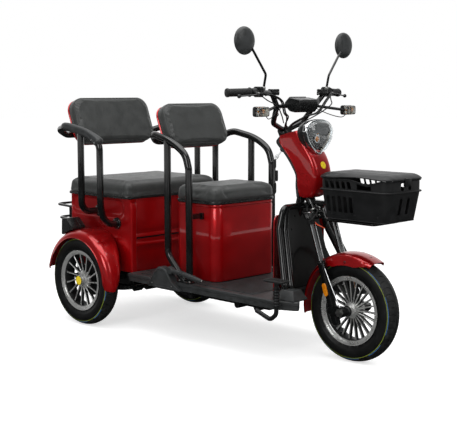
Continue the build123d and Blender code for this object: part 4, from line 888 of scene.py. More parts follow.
def mudguard(name, hub, body, node_name, section_at, start, stop, count, wall=3.4):
    """A mudguard swept round its wheel. section_at gives (across, radius) points by angle."""
    rings = []
    for step in range(count + 1):
        angle = start + (stop - start) * step / count
        outer = section_at(angle, step / count)
        inner = []
        for number, (across, radius) in enumerate(outer):
            before = outer[max(number - 1, 0)]
            after = outer[min(number + 1, len(outer) - 1)]
            run = Vector((after[0] - before[0], after[1] - before[1]))
            normal = Vector((run.y, -run.x)).normalized() * wall
            sense = -1 if normal.y > 0 or (abs(normal.y) < 1e-6 and normal.x * across > 0) else 1
            inner.append((across + sense * normal.x, radius + sense * normal.y))
        rings.append([arch_point(hub, angle, across, radius)
                      for across, radius in outer + inner[::-1]])
    bm = bmesh.new()
    skin(bm, rings, caps=(True, True))
    piece(name, bm, candy_red, body, [node_name], crease=40)


def rear_guard_section(out):
    """The rear mudguard's domed crown: it peels off the body and narrows to a round tip."""
    def section(angle, share):
        near_end = min(share, 1 - share) * 176
        lip = 2.4 * max(0.0, 1 - abs(near_end - 3.5) / 3.0)
        peel = 66 * max(0.0, min(1.0, (72 - angle) / 78)) ** 1.5
        tip = 30 * max(0.0, 1 - (angle + 6) / 13) ** 2
        full = GUARD_R + lip
        inner, outer = 0.5 + peel + tip * 0.6, 133 - tip * 0.4
        sag = 26 * min(1.0, peel / 30)
        run = outer - inner
        crown = [(inner, full - 1 - sag), (inner + run * 0.05, full - 0.6 - sag * 0.6),
                 (inner + run * 0.16, full - 0.3 - sag * 0.2), (inner + run * 0.3, full),
                 (inner + run * 0.5, full), (inner + run * 0.66, full - 1.2)]
        bend_r = run * 0.34
        shoulder = [(outer - bend_r + bend_r * math.sin(a), full - 1.2 - 27 * (1 - math.cos(a)))
                    for a in radians(15, 30, 45, 60, 75, 90)]
        edge = [(outer + 0.6, full - 31), (outer + 2.2, full - 33.4), (outer + 1.6, full - 35.6)]
        points = crown + shoulder + edge
        return [(out * (BODY_HALF_W + 0.3 + across - TRACK_HALF), radius)
                for across, radius in points]
    return section


def front_guard_section(angle, _):
    """The front mudguard: a shallow crown whose side skirts drop low beside the fork."""
    def rise_between(low, high):
        return max(0.0, min(1.0, (angle - low) / (high - low)))

    deep = 24 + 26 * (1 - rise_between(112, 128)) * rise_between(63, 78)
    flare = 7 * (1 - rise_between(100, 116)) * rise_between(60, 76)
    nose = 1 - rise_between(60, 66)
    half = 51.0 - 5 * nose
    crown = [(0, 233.6), (18, 233.0), (33, 230.4), (42, 226.4), (half - 3.4, 221), (half, 214)]
    skirt = [(half + flare * 0.5, GUARD_R - deep * 0.62),
             (half + flare, GUARD_R - deep + 4 * nose)]
    side = crown + skirt
    return [(-across, radius) for across, radius in reversed(side[1:])] + side


front_box_piece()
rear_body_piece()
for side_name, side in SIDES.items():
    mudguard(f"rear_mudguard_{side_name}", rear_hubs[side_name], "chassis",
             f"rear_fender_{side_name}", rear_guard_section(side), -6, 170, 60)
mudguard("front_mudguard", front_hub, "steering", "front_fender", front_guard_section, 60, 190,
         56, 3.0)


def mudguard_screws():
    """Dome screws: black with one of zinc in front, painted red on the rear mudguards."""
    bm = bmesh.new()
    for side in SIDES.values():
        screw_head(bm, arch_point(front_hub, 92, side * 54.5, 196), (0, side, 0), 6, 2.6)
    screw_head(bm, arch_point(front_hub, 70, 0, 233), (0.34, 0, 0.94), 4, 1.8, index=1)
    piece("front_mudguard_screws", bm, [smooth_black, zinc], "steering")
    bm = bmesh.new()
    for side_name, side in SIDES.items():
        for angle in (22, 34):
            where = arch_point(rear_hubs[side_name], angle, -side * 10, 233.6)
            axis = (math.cos(math.radians(angle)), 0, math.sin(math.radians(angle)))
            screw_head(bm, where, axis, 3.6, 1.6)
    piece("rear_mudguard_screws", bm, candy_red, "chassis")


mudguard_screws()


# ---- deck ----
def deck_piece():
    """The foot deck: a moulded tray with a stepped edge and raised ribs running fore and aft."""
    room = 258.0
    half = [(-room, 0), (18 - room, -150), (-116, -196), (-84, -236), (-76, -250), (-92, -262),
            (-156, -291), (-170, -292), (-1046, -292), (-1046, 0)]
    plan = half[:-1] + [(x, -y) for x, y in reversed(half[1:-1])]

    def shrunk(inset):
        middle = (-580, 0)
        out = []
        for x, y in plan:
            out.append((x - math.copysign(inset, x - middle[0]),
                        y - (math.copysign(inset, y) if abs(y) > 1 else 0)))
        return out

    bm = bmesh.new()
    layers = [(shrunk(9), -37), (shrunk(4), -35), (shrunk(3), -16), (shrunk(0), -13),
              (shrunk(0), -3.5), (shrunk(3.5), 0), (shrunk(16), 0), (shrunk(18), -1.6)]
    stack(bm, layers, from_front)
    deck_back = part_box("floor_deck")[0].x
    front_start, tread_end = from_rear(FRONT_BOX_AHEAD + 146, 0, 0).x, from_front(-310, 0, 0).x
    for row in range(-27, 28):
        y = row * 9.4
        if abs(y) > 268:
            continue
        near_box = abs(y) < 192
        spans = [(front_start, tread_end)] if near_box else [(deck_back + 0.05, tread_end)]
        if near_box:
            spans.append((from_rear(250, 0, 0).x, from_rear(FRONT_BOX_AHEAD - 142, 0, 0).x))
        for start, end in spans:
            rings = []
            for x in (start, start + 0.004, end - 0.004, end):
                tall = -1.4 * MM if x in (start, end) else 1.9 * MM
                rings.append([Vector((x, y * MM + dy * MM, deck_top + dz)) for dy, dz in
                              ((-2.9, -1.6 * MM), (-2.2, tall), (2.2, tall), (2.9, -1.6 * MM))])
            skin(bm, rings, caps=(True, True))
    piece("deck_tray", bm, charcoal, "chassis", ["floor_deck"], crease=28)


def guard_hump(side):
    """The raised moulding where the leg guard's tubes stand on the deck."""
    bm = bmesh.new()
    put = lambda x, y, depth: from_front(x, side * y, depth)
    base = [(-92, 178), (-92, 262), (-118, 268), (-196, 268), (-206, 250), (-206, 196),
            (-190, 180), (-120, 172)]
    top = [(-112, 190), (-112, 240), (-128, 248), (-170, 248), (-178, 236), (-178, 204),
           (-166, 194), (-130, 188)]
    stack(bm, [(base, 0), (base, 4), (top, 34), ([(x * 0.98 - 3, y * 0.99) for x, y in top], 37)],
          put)
    piece(f"guard_foot_moulding_{'left' if side > 0 else 'right'}", bm, charcoal, "chassis",
          bevel=3.0)


deck_piece()
for side in SIDES.values():
    guard_hump(side)

# ---- steering column covers ----
def smooth_curve(points, per_run=6, closed=False):
    """Points along a curve that passes through the given ones."""
    count = len(points)
    spans = count if closed else count - 1
    out = []
    for run in range(spans):
        if closed:
            a, b, c, d = (Vector(points[(run + step) % count]) for step in (-1, 0, 1, 2))
        else:
            a, b, c, d = (Vector(points[max(0, min(count - 1, run + step))])
                          for step in (-1, 0, 1, 2))
        for step in range(per_run):
            t = step / per_run
            out.append(0.5 * ((2 * b) + (c - a) * t + (2 * a - 5 * b + 4 * c - d) * t * t
                              + (3 * b - a - 3 * c + d) * t ** 3))
    if not closed:
        out.append(Vector(points[-1]))
    return out


def evenly(points, count):
    """Points spaced evenly along a path of short runs."""
    lengths = [0.0]
    for before, after in zip(points, points[1:]):
        lengths.append(lengths[-1] + (after - before).length)
    out, run = [], 0
    for step in range(count):
        goal = lengths[-1] * step / (count - 1)
        while run < len(points) - 2 and lengths[run + 1] < goal:
            run += 1
        share = (goal - lengths[run]) / max(1e-9, lengths[run + 1] - lengths[run])
        out.append(points[run].lerp(points[run + 1], min(1.0, share)))
    return out


COWL_FRONT = [(119.3, 652), (128, 610), (140, 560), (142.7, 538), (139, 505), (126, 468),
              (108, 438), (86.8, 414), (58, 392), (30.6, 379)]
COWL_SEAM = [(40.3, 637), (54, 575), (63.9, 512), (44, 458), (17.6, 393)]
COVER_BACK = [(4, 622), (-30.3, 600), (-14, 564), (-3.3, 538), (5, 505), (9, 467), (-14, 424),
              (-32.4, 378)]


def side_seam(count):
    """Where the red cowl meets its dark cover: well back on the column's sides."""
    seam = evenly(smooth_curve(COWL_SEAM, 6), count)
    back = evenly(smooth_curve(COVER_BACK, 6), count)
    return [front.lerp(behind, 0.6) for front, behind in zip(seam, back)]


def cowl_piece():
    """The red column cowl: flat front, round front edges, a rolled rim at the back seam."""
    count = 34
    front = evenly(smooth_curve(COWL_FRONT, 6), count)
    seam = side_seam(count)
    bm = bmesh.new()
    rings = []
    for step in range(count):
        share = step / (count - 1)
        half = 58 - 3 * share - 6 * max(0.0, share - 0.8) / 0.2
        end_tuck = 3 * max(0, 1 - min(step, count - 1 - step) / 1.5)
        ahead, back = front[step], seam[step]
        run = (ahead - back).length
        corner = min(20.0, run * 0.4)
        side = [(0.8, half - 2.5), (0.8, half - 1), (2.2, half), (4.4, half), (5.6, half - 1.6),
                (run * 0.45, half - 1.0)]
        side += [(run - corner + corner * math.sin(a), half - 1.6 - corner * (1 - math.cos(a)))
                 for a in radians(0, 20, 40, 60, 80)]
        side += [(run + 0.6, half - corner - 8), (run + 1.6, half * 0.3), (run + 1.9, 0)]
        whole = [(d, y) for d, y in side] + [(d, -y) for d, y in reversed(side[:-1])]
        ring = []
        for depth, across in whole:
            spot = back.lerp(ahead, max(0.0, depth - end_tuck * (depth > 10)) / run)
            shrink = 1 - end_tuck / 58
            ring.append(by_column(spot.x, across * shrink, spot.y))
        rings.append(ring)
    skin(bm, rings, caps=(True, True))
    piece("column_cowl", bm, candy_red, "chassis", ["front_cowl"], crease=50)


def cover_piece():
    """The dark cover on the rider's side of the column, with a long shallow press line."""
    count = 26
    seam = side_seam(count)
    back = evenly(smooth_curve(COVER_BACK, 6), count)
    bm = bmesh.new()
    rings = []
    for step in range(count):
        ahead, behind = seam[step], back[step]
        run = (ahead - behind).length
        half = 52.5
        side = [(run, half - 3), (run, half - 1), (run - 1.5, half), (run * 0.55, half - 0.5),
                (run * 0.5, half - 2.5), (run * 0.28, half - 3)]
        side += [(12 - 12 * math.sin(a), half - 3 - 12 * (1 - math.cos(a)))
                 for a in radians(0, 25, 50, 75, 90)]
        side += [(-1.5, half * 0.4), (-2, 0)]
        whole = side + [(d, -y) for d, y in reversed(side[:-1])]
        rings.append([by_column(behind.lerp(ahead, depth / run).x, across,
                                behind.lerp(ahead, depth / run).y) for depth, across in whole])
    skin(bm, rings, caps=(True, True))
    piece("column_cover", bm, [charcoal], "chassis", ["cowl_rear_cover"],
          crease=40)


def ignition_piece():
    """The key in its lock with a ring and two fobs that hang beside the column."""
    bm = bmesh.new()
    lock, key_end = by_column(-17.2, -34, 568.8), by_column(-54, -34, 545.3)
    axis = (key_end - lock).normalized()
    turned(bm, [(0, 0), (11, 0), (11, 7), (9, 9), (6, 9), (0, 9)], lock - axis * 4 * MM, axis, 24,
           index=1)
    side = Vector((0, 1, 0))
    up = side.cross(axis)

    def flat(along, across, depth):
        return lock + axis * along * MM + up * across * MM + side * depth * MM

    blade = [(4, -3), (33, -3), (35, -8.5), (48, -8.5), (51, -5), (51, 5), (48, 8.5), (35, 8.5),
             (33, 3), (4, 3)]
    stack(bm, [(blade, -1.4), (blade, 1.4)], flat)
    hole = flat(45, 0, 0)
    ring = [hole + (axis * math.cos(a) + up * math.sin(a)) * 7.5 * MM + axis * 5 * MM
            + side * 2.4 * MM * math.cos(a) for a in (math.tau * n / 20 for n in range(20))]
    tube(bm, ring, 0.9, steps=6, closed=True)
    piece("ignition_key_set", bm, [chrome, smooth_black], "chassis", ["ignition_key"])
    bm = bmesh.new()
    low_ring = hole + axis * 10 * MM
    tag = [(-5, 0), (-6.5, -6), (-6.5, -30), (-3, -35), (3, -35), (6.5, -30), (6.5, -6), (5, 0)]
    for dx, dy, turn, long, drop in ((0, -0.004, 0.25, 1.1, 0), (0.005, 0.004, -0.3, 1.3, 46),
                                     (-0.002, 0, 0.8, 1.3, 98)):
        def hung(x, z, depth, dx=dx, dy=dy, turn=turn, long=long, drop=drop):
            return low_ring + Vector((dx + (x * math.cos(turn) - depth * math.sin(turn)) * MM,
                                      dy + (x * math.sin(turn) + depth * math.cos(turn)) * MM,
                                      (z * long - 3 - drop) * MM))
        stack(bm, [([(x * 0.8, z * 0.97 - 0.5) for x, z in tag], -3.4), (tag, -2), (tag, 2),
                   ([(x * 0.8, z * 0.97 - 0.5) for x, z in tag], 3.4)], hung)
    tube(bm, [low_ring, low_ring - Vector((0, 0, 112 * MM))], 1.6, steps=8)
    piece("key_fobs", bm, smooth_black, "chassis")


def round_sticker(name, body, centre, facing, radius):
    """A plain yellow disc stuck on the paint, its face a hair proud."""
    bm = bmesh.new()
    turned(bm, [(0, 0.5), (radius * 0.92, 0.5), (radius, 0.2), (radius, -0.4)], centre, facing, 40)
    piece(name, bm, sticker_yellow, body)


cowl_piece()
cover_piece()
ignition_piece()
sticker_low, sticker_high = by_column(135, 0, 494), by_column(142.4, 0, 530)
sticker_run = (sticker_high - sticker_low).normalized()
sticker_facing = Vector((0, 1, 0)).cross(sticker_run).normalized()
if sticker_facing.x < 0:
    sticker_facing = -sticker_facing
round_sticker("cowl_disc", "chassis", (sticker_low + sticker_high) / 2 + sticker_facing * 3.2 * MM,
              sticker_facing, 15)
round_sticker("body_disc", "chassis", from_rear(-2, -258.4, 254), (0, -1, 0), 13)


# ---- headlight ----
LAMP_CORNERS = [(0, 72), (58, 62), (86, 30), (70, -18), (30, -60), (0, -72), (-30, -60),
                (-70, -18), (-86, 30), (-58, 62)]
lamp_face = by_column(179, 0, 625)
lamp_outline = smooth_curve(LAMP_CORNERS, 6, closed=True)


def lamp_ring(scale, depth, lift=0.0):
    """The lamp's shield outline at a scale and a distance behind its face."""
    return [lamp_face + Vector((depth * MM, point.x * scale * MM, (point.y * scale + lift) * MM))
            for point in lamp_outline]


def headlight_pieces():
    """Domed bucket, broad bright bezel, fluted bowl with a dark visor, two projectors, lens."""
    bm = bmesh.new()
    skin(bm, [lamp_ring(scale, depth) for scale, depth in
              ((0.3, -74), (0.5, -72), (0.68, -66), (0.82, -55), (0.92, -41), (0.965, -28),
               (0.975, -15), (0.96, -12), (0.9, -12))], caps=(True, True))
    piece("headlight_shell", bm, smooth_black, "chassis", ["headlight_bucket"],
          crease=50)
    bm = bmesh.new()
    skin(bm, [lamp_ring(scale, depth) for scale, depth in
              ((0.94, -17), (0.985, -16), (1.0, -13), (1.0, -6), (0.99, -1), (0.965, 2.5),
               (0.94, 3.2), (0.915, 2), (0.9, -1), (0.895, -6), (0.9, -14))], joined=True)
    piece("headlight_bezel", bm, chrome, "chassis")
    bm = bmesh.new()
    rings = []
    for scale, depth in ((0.9, -5), (0.86, -12), (0.78, -24), (0.62, -36), (0.4, -44),
                         (0.12, -46)):
        ring = lamp_ring(scale, depth)
        flute = 1.6 * MM * (depth < -6)
        rings.append([point + Vector((flute * (number % 2), 0, 0))
                      for number, point in enumerate(ring)])
    skin(bm, rings, caps=(False, True))
    bmesh.ops.reverse_faces(bm, faces=bm.faces)
    piece("headlight_bowl", bm, lamp_bowl, "chassis")
    bm = bmesh.new()
    top = [point for point in lamp_outline if point.y > 24]
    top = sorted(top, key=lambda point: point.x)
    brow = [(point.x * 0.89, point.y * 0.89) for point in top]
    low = [(x * 0.97, 20 - 13 * (1 - (x / 76) ** 2) + 9 * math.exp(-(x / 15) ** 2))
           for x in (76 * (1 - 2 * n / 16) for n in range(17))]
    put = lambda y, z, depth: lamp_face + Vector((depth * MM, y * MM, z * MM))
    stack(bm, [(brow + low, -9), (brow + low, -4)], put)
    piece("headlight_visor", bm, charcoal, "chassis", bevel=1.2)
    bm = bmesh.new()
    for lift in (-8, 20):
        centre = lamp_face + Vector((-44 * MM, 0, lift * MM))
        turned(bm, [(0, 0), (12, 0), (13, 3), (13, 28), (14.6, 30), (14.6, 33), (12.4, 33),
                    (11.6, 30)], centre, (1, 0, 0), 40)
        turned(bm, [(11.6, 29), (10, 33), (7, 36), (3.5, 37.6), (0, 38)], centre, (1, 0, 0), 40,
               index=1)
    piece("headlight_projectors", bm, [chrome, amber], "chassis", crease=45)
    bm = bmesh.new()
    skin(bm, [lamp_ring(scale, depth) for scale, depth in
              ((0.84, 0.2), (0.885, 0.2), (0.895, 4), (0.88, 10), (0.83, 16), (0.74, 21),
               (0.6, 25), (0.4, 28), (0.15, 29.5))], caps=(False, True))
    skin(bm, [lamp_ring(scale, depth) for scale, depth in
              ((0.84, 0.2), (0.865, 4), (0.85, 9.5), (0.8, 14.5), (0.72, 19), (0.58, 23),
               (0.39, 26), (0.14, 27.5))], caps=(False, True))
    bmesh.ops.recalc_face_normals(bm, faces=bm.faces)
    piece("headlight_glass", bm, clear_lens, "chassis", ["headlight_lens"], crease=60)


headlight_pieces()


# ---- basket ----
basket_low, basket_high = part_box("basket")
basket_rear, basket_front = basket_low.x / MM, basket_high.x / MM
basket_foot = basket_low.z / MM
FLANGE_RISE, BAND_TOP = 114.0, 162.0
core_back, core_front, core_side = basket_rear + 44, basket_front - 44, 78.0


def slotted_wall(bm, columns, rows, place, hole):
    """A wall of cells with rounded holes. hole(column, row) gives 0 wall, 1 open, 2 to 5 a
    cell cut across one corner."""
    grid = {}

    def vertex(column, row):
        column %= len(columns)
        if (column, row) not in grid:
            grid[column, row] = bm.verts.new(place(columns[column], rows[row]))
        return grid[column, row]

    for column in range(len(columns)):
        for row in range(len(rows) - 1):
            kind = hole(column, row)
            if kind == 1:
                continue
            corners = [vertex(column, row), vertex(column + 1, row), vertex(column + 1, row + 1),
                       vertex(column, row + 1)]
            if kind > 1:
                corners.pop(kind - 2)
            bm.faces.new(corners)


def basket_plan():
    """The basket's plan as (core x, core y, way out) points, marked where a slot begins."""
    plan, marks = [], {}
    wide = 16.0

    def corner(x, y, quarter):
        for angle in range(15, 90, 15):
            a = math.radians(angle + 90 * quarter)
            plan.append((x, y, Vector((math.cos(a), math.sin(a)))))

    for turn in (-1, 1):
        way = Vector((0, turn))
        points = []
        for number in range(5):
            for offset in (0, 3.2, wide - 3.2, wide):
                points.append((core_back + 27 * number + offset, ("side", number)))
        for x in (core_back + 150, core_back + 166, core_back + 182, core_back + 200,
                  core_back + 216, core_back + 232, core_front):
            points.append((x, None))
        points.insert(0, (core_back, None))
        if turn > 0:
            points.reverse()
        count = 0
        for x, tag in points:
            if tag:
                marks[len(plan)] = (tag, count % 4)
                count += 1
            plan.append((x, turn * core_side, way))
        if turn < 0:
            corner(core_front, -core_side, -1)
            plan.append((core_front, -core_side, Vector((1, 0))))
            for y in (-24.0, 24.0):
                for part, offset in enumerate((-9, -5.5, 5.5, 9)):
                    marks[len(plan)] = (("front", y), part)
                    plan.append((core_front, y + offset, Vector((1, 0))))
            plan.append((core_front, core_side, Vector((1, 0))))
            corner(core_front, core_side, 0)
        else:
            corner(core_back, core_side, 1)
            for y in (core_side, 0, -core_side):
                plan.append((core_back, y, Vector((-1, 0))))
            corner(core_back, -core_side, 2)
    return plan, marks


def basket_piece():
    """The moulded basket: a slotted tub, a rolled flange and an upper band whose rim dips."""
    plan, marks = basket_plan()

    def kind_at(column, row, low_row, high_row):
        """Whether a cell is wall, open or a slot's cut corner."""
        here, after = marks.get(column), marks.get((column + 1) % len(plan))
        if not here or not after or here[0] != after[0] or not low_row <= row <= high_row:
            return 0
        part = min(here[1], after[1])
        if low_row < row < high_row or part == 1:
            return 1
        if row == low_row:
            return 4 if part == 0 else 5
        return 3 if part == 0 else 2

    def tub_place(point, row):
        x, y, way = point
        rise, inset = row
        reach = 44 - inset
        return Vector(((x + way.x * reach) * MM, (y + way.y * reach) * MM,
                       (basket_foot + rise) * MM))

    tub_rows = [(5, 34), (2.5, 31), (5, 28), (14, 26), (30, 23), (33.5, 22.4), (89, 12.6),
                (92.5, 12), (104, 9.6), (FLANGE_RISE, 8.5)]
    bm = bmesh.new()
    slotted_wall(bm, plan, tub_rows, tub_place,
                 lambda column, row: kind_at(column, row, 4, 6))
    floor = [tub_place(point, tub_rows[0]) for point in plan]
    bm.faces.new([bm.verts.new(point) for point in floor])
    bmesh.ops.remove_doubles(bm, verts=bm.verts, dist=2e-6)
    bmesh.ops.solidify(bm, geom=bm.faces[:], thickness=3.2 * MM)

    def dip(x):
        """How far the upper rim dips, most a little ahead of the middle."""
        share = (x - (core_back + 196)) / 62
        return 15 * max(0.0, 1 - abs(share)) ** 0.8 if abs(share) < 1 else 0.0

    def band_place(point, row):
        x, y, way = point
        rise, inset, slant = row
        reach = 44 - inset
        along = x + way.x * reach
        lean = slant * -9 if abs(way.y) > 0.99 and x < core_back + 148 else 0
        drop = dip(along) * slant if abs(y) > 60 else 0
        return Vector(((along + lean) * MM, (y + way.y * reach) * MM,
                       (basket_foot + rise - drop) * MM))

    band_rows = [(FLANGE_RISE, 8.5, 0), (FLANGE_RISE + 10, 8.5, 0), (FLANGE_RISE + 13, 8.5, 0.1),
                 (BAND_TOP - 13, 8.5, 0.8), (BAND_TOP - 10, 8.5, 1), (BAND_TOP - 1, 8.5, 1)]
    window = {number for number, (x, y, way) in enumerate(plan)
              if abs(way.y) > 0.99 and core_back + 149 < x < core_back + 231}

    def band_hole(column, row):
        if column in window and (column + 1) % len(plan) in window and 1 <= row <= 3:
            return 1
        return kind_at(column, row, 1, 3)

    upper = bmesh.new()
    slotted_wall(upper, plan, band_rows, band_place, band_hole)
    bmesh.ops.solidify(upper, geom=upper.faces[:], thickness=3.2 * MM)
    waste = bpy.data.meshes.new("band")
    upper.to_mesh(waste)
    bm.from_mesh(waste)
    upper.free()
    bpy.data.meshes.remove(waste)
    for rows, lip in (([(FLANGE_RISE, 9), (FLANGE_RISE, 1.5), (FLANGE_RISE + 2, 0),
                        (FLANGE_RISE + 4.5, 0.4), (FLANGE_RISE + 6, 2), (FLANGE_RISE + 6, 9)], 0),
                      ([(BAND_TOP - 4.5, 9), (BAND_TOP - 4, 4), (BAND_TOP - 2.4, 2.6),
                        (BAND_TOP - 0.6, 3.6), (BAND_TOP - 0.2, 9)], 1)):
        rings = []
        for rise, inset in rows:
            rings.append([Vector((point[0] * MM + point[2].x * (44 - inset) * MM,
                                  point[1] * MM + point[2].y * (44 - inset) * MM,
                                  (basket_foot + rise - lip * (dip(point[0] + point[2].x * 44)
                                   if abs(point[1]) > 60 else 0)) * MM)) for point in plan])
        skin(bm, rings, joined=True)
    for side in (-1, 1):
        for x in (core_back + 20, core_back + 130, core_back + 238):
            screw_head(bm, tub_place((x, side * core_side, Vector((0, side))), (22, 24.6)),
                       (0, side, 0), 4.2, 1.6)
    piece("front_basket", bm, matt_black, "chassis", ["basket"], crease=35)
    return plan


def lid_piece(plan):
    """The domed basket lid: a turned-down edge raised a little at the middle, and a latch."""
    joint_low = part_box("basket_lid")[0].z / MM
    edge_low = joint_low + 24.5

    def lift(point):
        x = point[0] + point[2].x * 40
        share = (x - (core_back + 150)) / 100
        return 6.5 * max(0.0, 1 - share * share) if abs(point[1]) > 60 else 0

    def ring(inset, rise, lift_share=1.0):
        return [Vector((((point[0] - mid_x) * (1 - max(0, inset - 44) / 150) + mid_x
                         + point[2].x * (44 - min(inset, 44))) * MM,
                        (point[1] * (1 - max(0, inset - 44) / 80)
                         + point[2].y * (44 - min(inset, 44))) * MM,
                        (edge_low + rise + lift(point) * lift_share) * MM)) for point in plan]

    mid_x = (core_back + core_front) / 2
    bm = bmesh.new()
    skin(bm, [ring(4, 1.2), ring(1.5, 0.2), ring(0.2, 1.0), ring(0, 3), ring(1.5, 5.5, 0.9),
              ring(5, 8.5, 0.7), ring(11, 12.5, 0.4), ring(18, 16, 0.15), ring(25, 18.6, 0),
              ring(34, 20.4, 0), ring(46, 21.2, 0), ring(60, 20.2, 0), ring(62, 21, 0),
              ring(90, 21.4, 0), ring(120, 21.5, 0)], caps=(False, True))
    skin(bm, [ring(4, 1.2), ring(4.2, 4), ring(12, 9, 0.3), ring(26, 15, 0), ring(60, 17, 0)],
         caps=(False, True))
    front = (core_front + 44) * MM

    def latch(y, z, depth):
        return Vector((front + depth * MM, y * MM, (edge_low + z) * MM))

    tab = [(-17, 8), (-18, 4), (-18, -20), (-14, -24), (14, -24), (18, -20), (18, 4), (17, 8)]
    stack(bm, [(tab, -8), (tab, 2.5), ([(y * 0.9, z * 0.92 - 0.5) for y, z in tab], 4)], latch)
    bmesh.ops.recalc_face_normals(bm, faces=bm.faces)
    # The finger slots are thin near-black blocks at the lid's top: painted shade in place of their
    # hollows.
    bm_slots = bmesh.new()
    for x, y in ((-70, -38), (-30, -2), (-22, 44)):
        x, y = (mid_x + x) * MM, y * MM
        block(bm_slots, Vector((x - 0.009, y - 0.004, (edge_low + 20.2) * MM)),
              Vector((x + 0.009, y + 0.004, (edge_low + 21.9) * MM)))
    piece("basket_cover_lid", bm, matt_black, "basket_cover", ["basket_lid"],
          crease=42)
    piece("lid_finger_slots", bm_slots, painted_shade_black, "basket_cover")


lid_piece(basket_piece())


# ---- fork ----
LEG_LEAN, LEG_BACK, LEG_ACROSS = math.radians(18.7), 48.0, 70.0
leg_up = Vector((-math.sin(LEG_LEAN), 0, math.cos(LEG_LEAN)))


def on_leg(side, along, ahead=0.0, out=0.0):
    """A place on a fork leg: along it from the axle's level, ahead of it and outward."""
    foot = front_hub + Vector((-LEG_BACK * MM, 0, 0))
    square = Vector((leg_up.z, 0, -leg_up.x))
    spot = foot + leg_up * along * MM + square * ahead * MM
    return Vector((spot.x, side * (LEG_ACROSS + out) * MM, spot.z))


def fork_pieces():
    """Gloss sliders with the axle lugs, bright stanchions, rubber collars and the yoke."""
    slider_top = (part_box("front_fender")[1].z / MM - 42.5 - front_hub.z / MM) / leg_up.z
    yoke_rise = 314
    collar_low = ((deck_top / MM + 278) - front_hub.z / MM) / leg_up.z
    top = ((deck_top / MM + yoke_rise + 10) - front_hub.z / MM) / leg_up.z
    sliders, bright, collars, yoke, chips = (bmesh.new() for _ in range(5))
    for side in SIDES.values():
        turned(sliders, [(0, -60), (12, -60), (16, -57), (17.5, -50), (17.5, slider_top - 16),
                         (18, slider_top - 14), (18, slider_top - 3), (16.5, slider_top),
                         (13.6, slider_top), (0, slider_top)], on_leg(side, 0), leg_up, 40)
        lug = []
        for step in range(16):
            a = math.tau * step / 16
            lug.append((math.cos(a) * 20 + (48 if math.cos(a) > 0 else 0) - 24,
                        math.sin(a) * 20))

        def beside(x, z, depth, side=side):
            return front_hub + Vector(((x - 24) * MM, side * (LEG_ACROSS + depth) * MM, z * MM))

        stack(sliders, [(scaled(lug, 0.9, 0.86), -17.5), (lug, -14), (lug, 13),
                        (scaled(lug, 0.92, 0.88), 17)], beside)
        for along in (30, 62, 94):
            tube(sliders, rounded_path([on_leg(side, along, -13), on_leg(side, along + 12, -20),
                                        on_leg(side, along + 20, -13)], 5), 2.2, steps=8)
        turned(bright, [(12.8, slider_top - 2), (12.8, top), (10, top + 3), (0, top + 3)],
               on_leg(side, 0), leg_up, 40)
        tube(bright, rounded_path([on_leg(side, slider_top - 8, 12, 10),
                                   on_leg(side, 100, 25, 10), on_leg(side, 6, 42, 10)], 30), 2.1,
             steps=8, index=0)
        turned(collars, [(13.4, collar_low), (16, collar_low + 1), (17.8, collar_low + 4),
                         (17.8, top - 8), (16, top - 4), (13.4, top - 3)], on_leg(side, 0),
               leg_up, 36)
        for ring in range(4):
            place = on_leg(side, collar_low + 6 + ring * 5)
            turned(collars, [(17.6, -1.2), (18.4, 0), (17.6, 1.2)], place, leg_up, 36)
        outline = rounded_rect(9.5, 26, 8, 5)
        low_mark = slider_top * 0.43

        def on_face(x, z, depth, side=side, low_mark=low_mark):
            return on_leg(side, low_mark + z, x - 2, 15.5 + depth)

        stack(chips, [(outline, 0), (outline, 4), (scaled(outline, 0.86, 0.95), 6)], on_face)
        for step in range(-4, 5):
            stack(chips, [([(-5.5, step * 5 - 1.1), (5.5, step * 5 - 1.1), (5.5, step * 5 + 1.1),
                            (-5.5, step * 5 + 1.1)], depth) for depth in (5.6, 6.9)], on_face)
    half = [(-25, 46), (-25, 70), (-14, 88), (0, 93), (14, 88), (24, 72), (25, 40), (34, 0)]
    plan = [(x, -y) for x, y in half[:-1]] + [(x, y) for x, y in reversed(half)]

    def on_yoke(x, y, depth):
        spot = by_column(22 + x, y, yoke_rise)
        return spot + steer_up * depth * MM

    stack(yoke, [(scaled(plan, 0.96, 0.98), -15), (plan, -12), (plan, 12),
                 (scaled(plan, 0.96, 0.98), 15)], on_yoke)
    turned(yoke, [(0, 0), (14, 0), (14, 320), (0, 320)], by_column(0, 0, yoke_rise), steer_up, 36)
    turned(yoke, [(0, 14), (26, 14), (26, 20), (22, 23), (0, 23)], by_column(0, 0, yoke_rise),
           steer_up, 36, index=1)
    for side in SIDES.values():
        for across in (38, 56):
            screw_head(yoke, by_column(50, side * across, yoke_rise), (0.9, 0, 0.43), 5, 3,
                       index=1)
    piece("fork_sliders", sliders, gloss_black, "steering", ["front_fork"],
          crease=40)
    piece("fork_stanchions", bright, chrome, "steering", crease=40)
    piece("fork_collars", collars, rubber, "steering", crease=40)
    piece("fork_yoke", yoke, [gloss_black, zinc], "steering", bevel=1.0, crease=40)
    piece("fork_reflectors", chips, amber, "steering", bevel=0.4)


def fork_hoses():
    """Cable loops at the yoke: black sleeves, one orange, held at both ends."""
    bm = bmesh.new()
    runs = (([(-6, -26, 350), (10, -60, 318), (34, -88, 290), (56, -90, 306), (60, -66, 322)],
             3, 0),
            ([(20, -20, 356), (52, -40, 330), (60, -74, 318)], 2.4, 0),
            ([(30, -64, 300), (48, -72, 282), (72, -60, 268)], 2.2, 1),
            ([(64, 10, 330), (76, 30, 300), (60, 60, 290)], 3, 0))
    for corners, radius, index in runs:
        tube(bm, rounded_path([by_column(*corner) for corner in corners], 16), radius, 10,
             index=index)
    piece("fork_cable_loops", bm, [rubber, orange_sleeve], "steering")


fork_pieces()
fork_hoses()

# ---- handlebar and what it carries ----
BAR_CORNERS = [(38.1, 90, 678), (120.4, 118, 748), (163, 164, 800), (128.7, 232, 805),
               (91.1, 345, 802)]
grip_start, grip_end = by_column(*BAR_CORNERS[3]), by_column(*BAR_CORNERS[4])


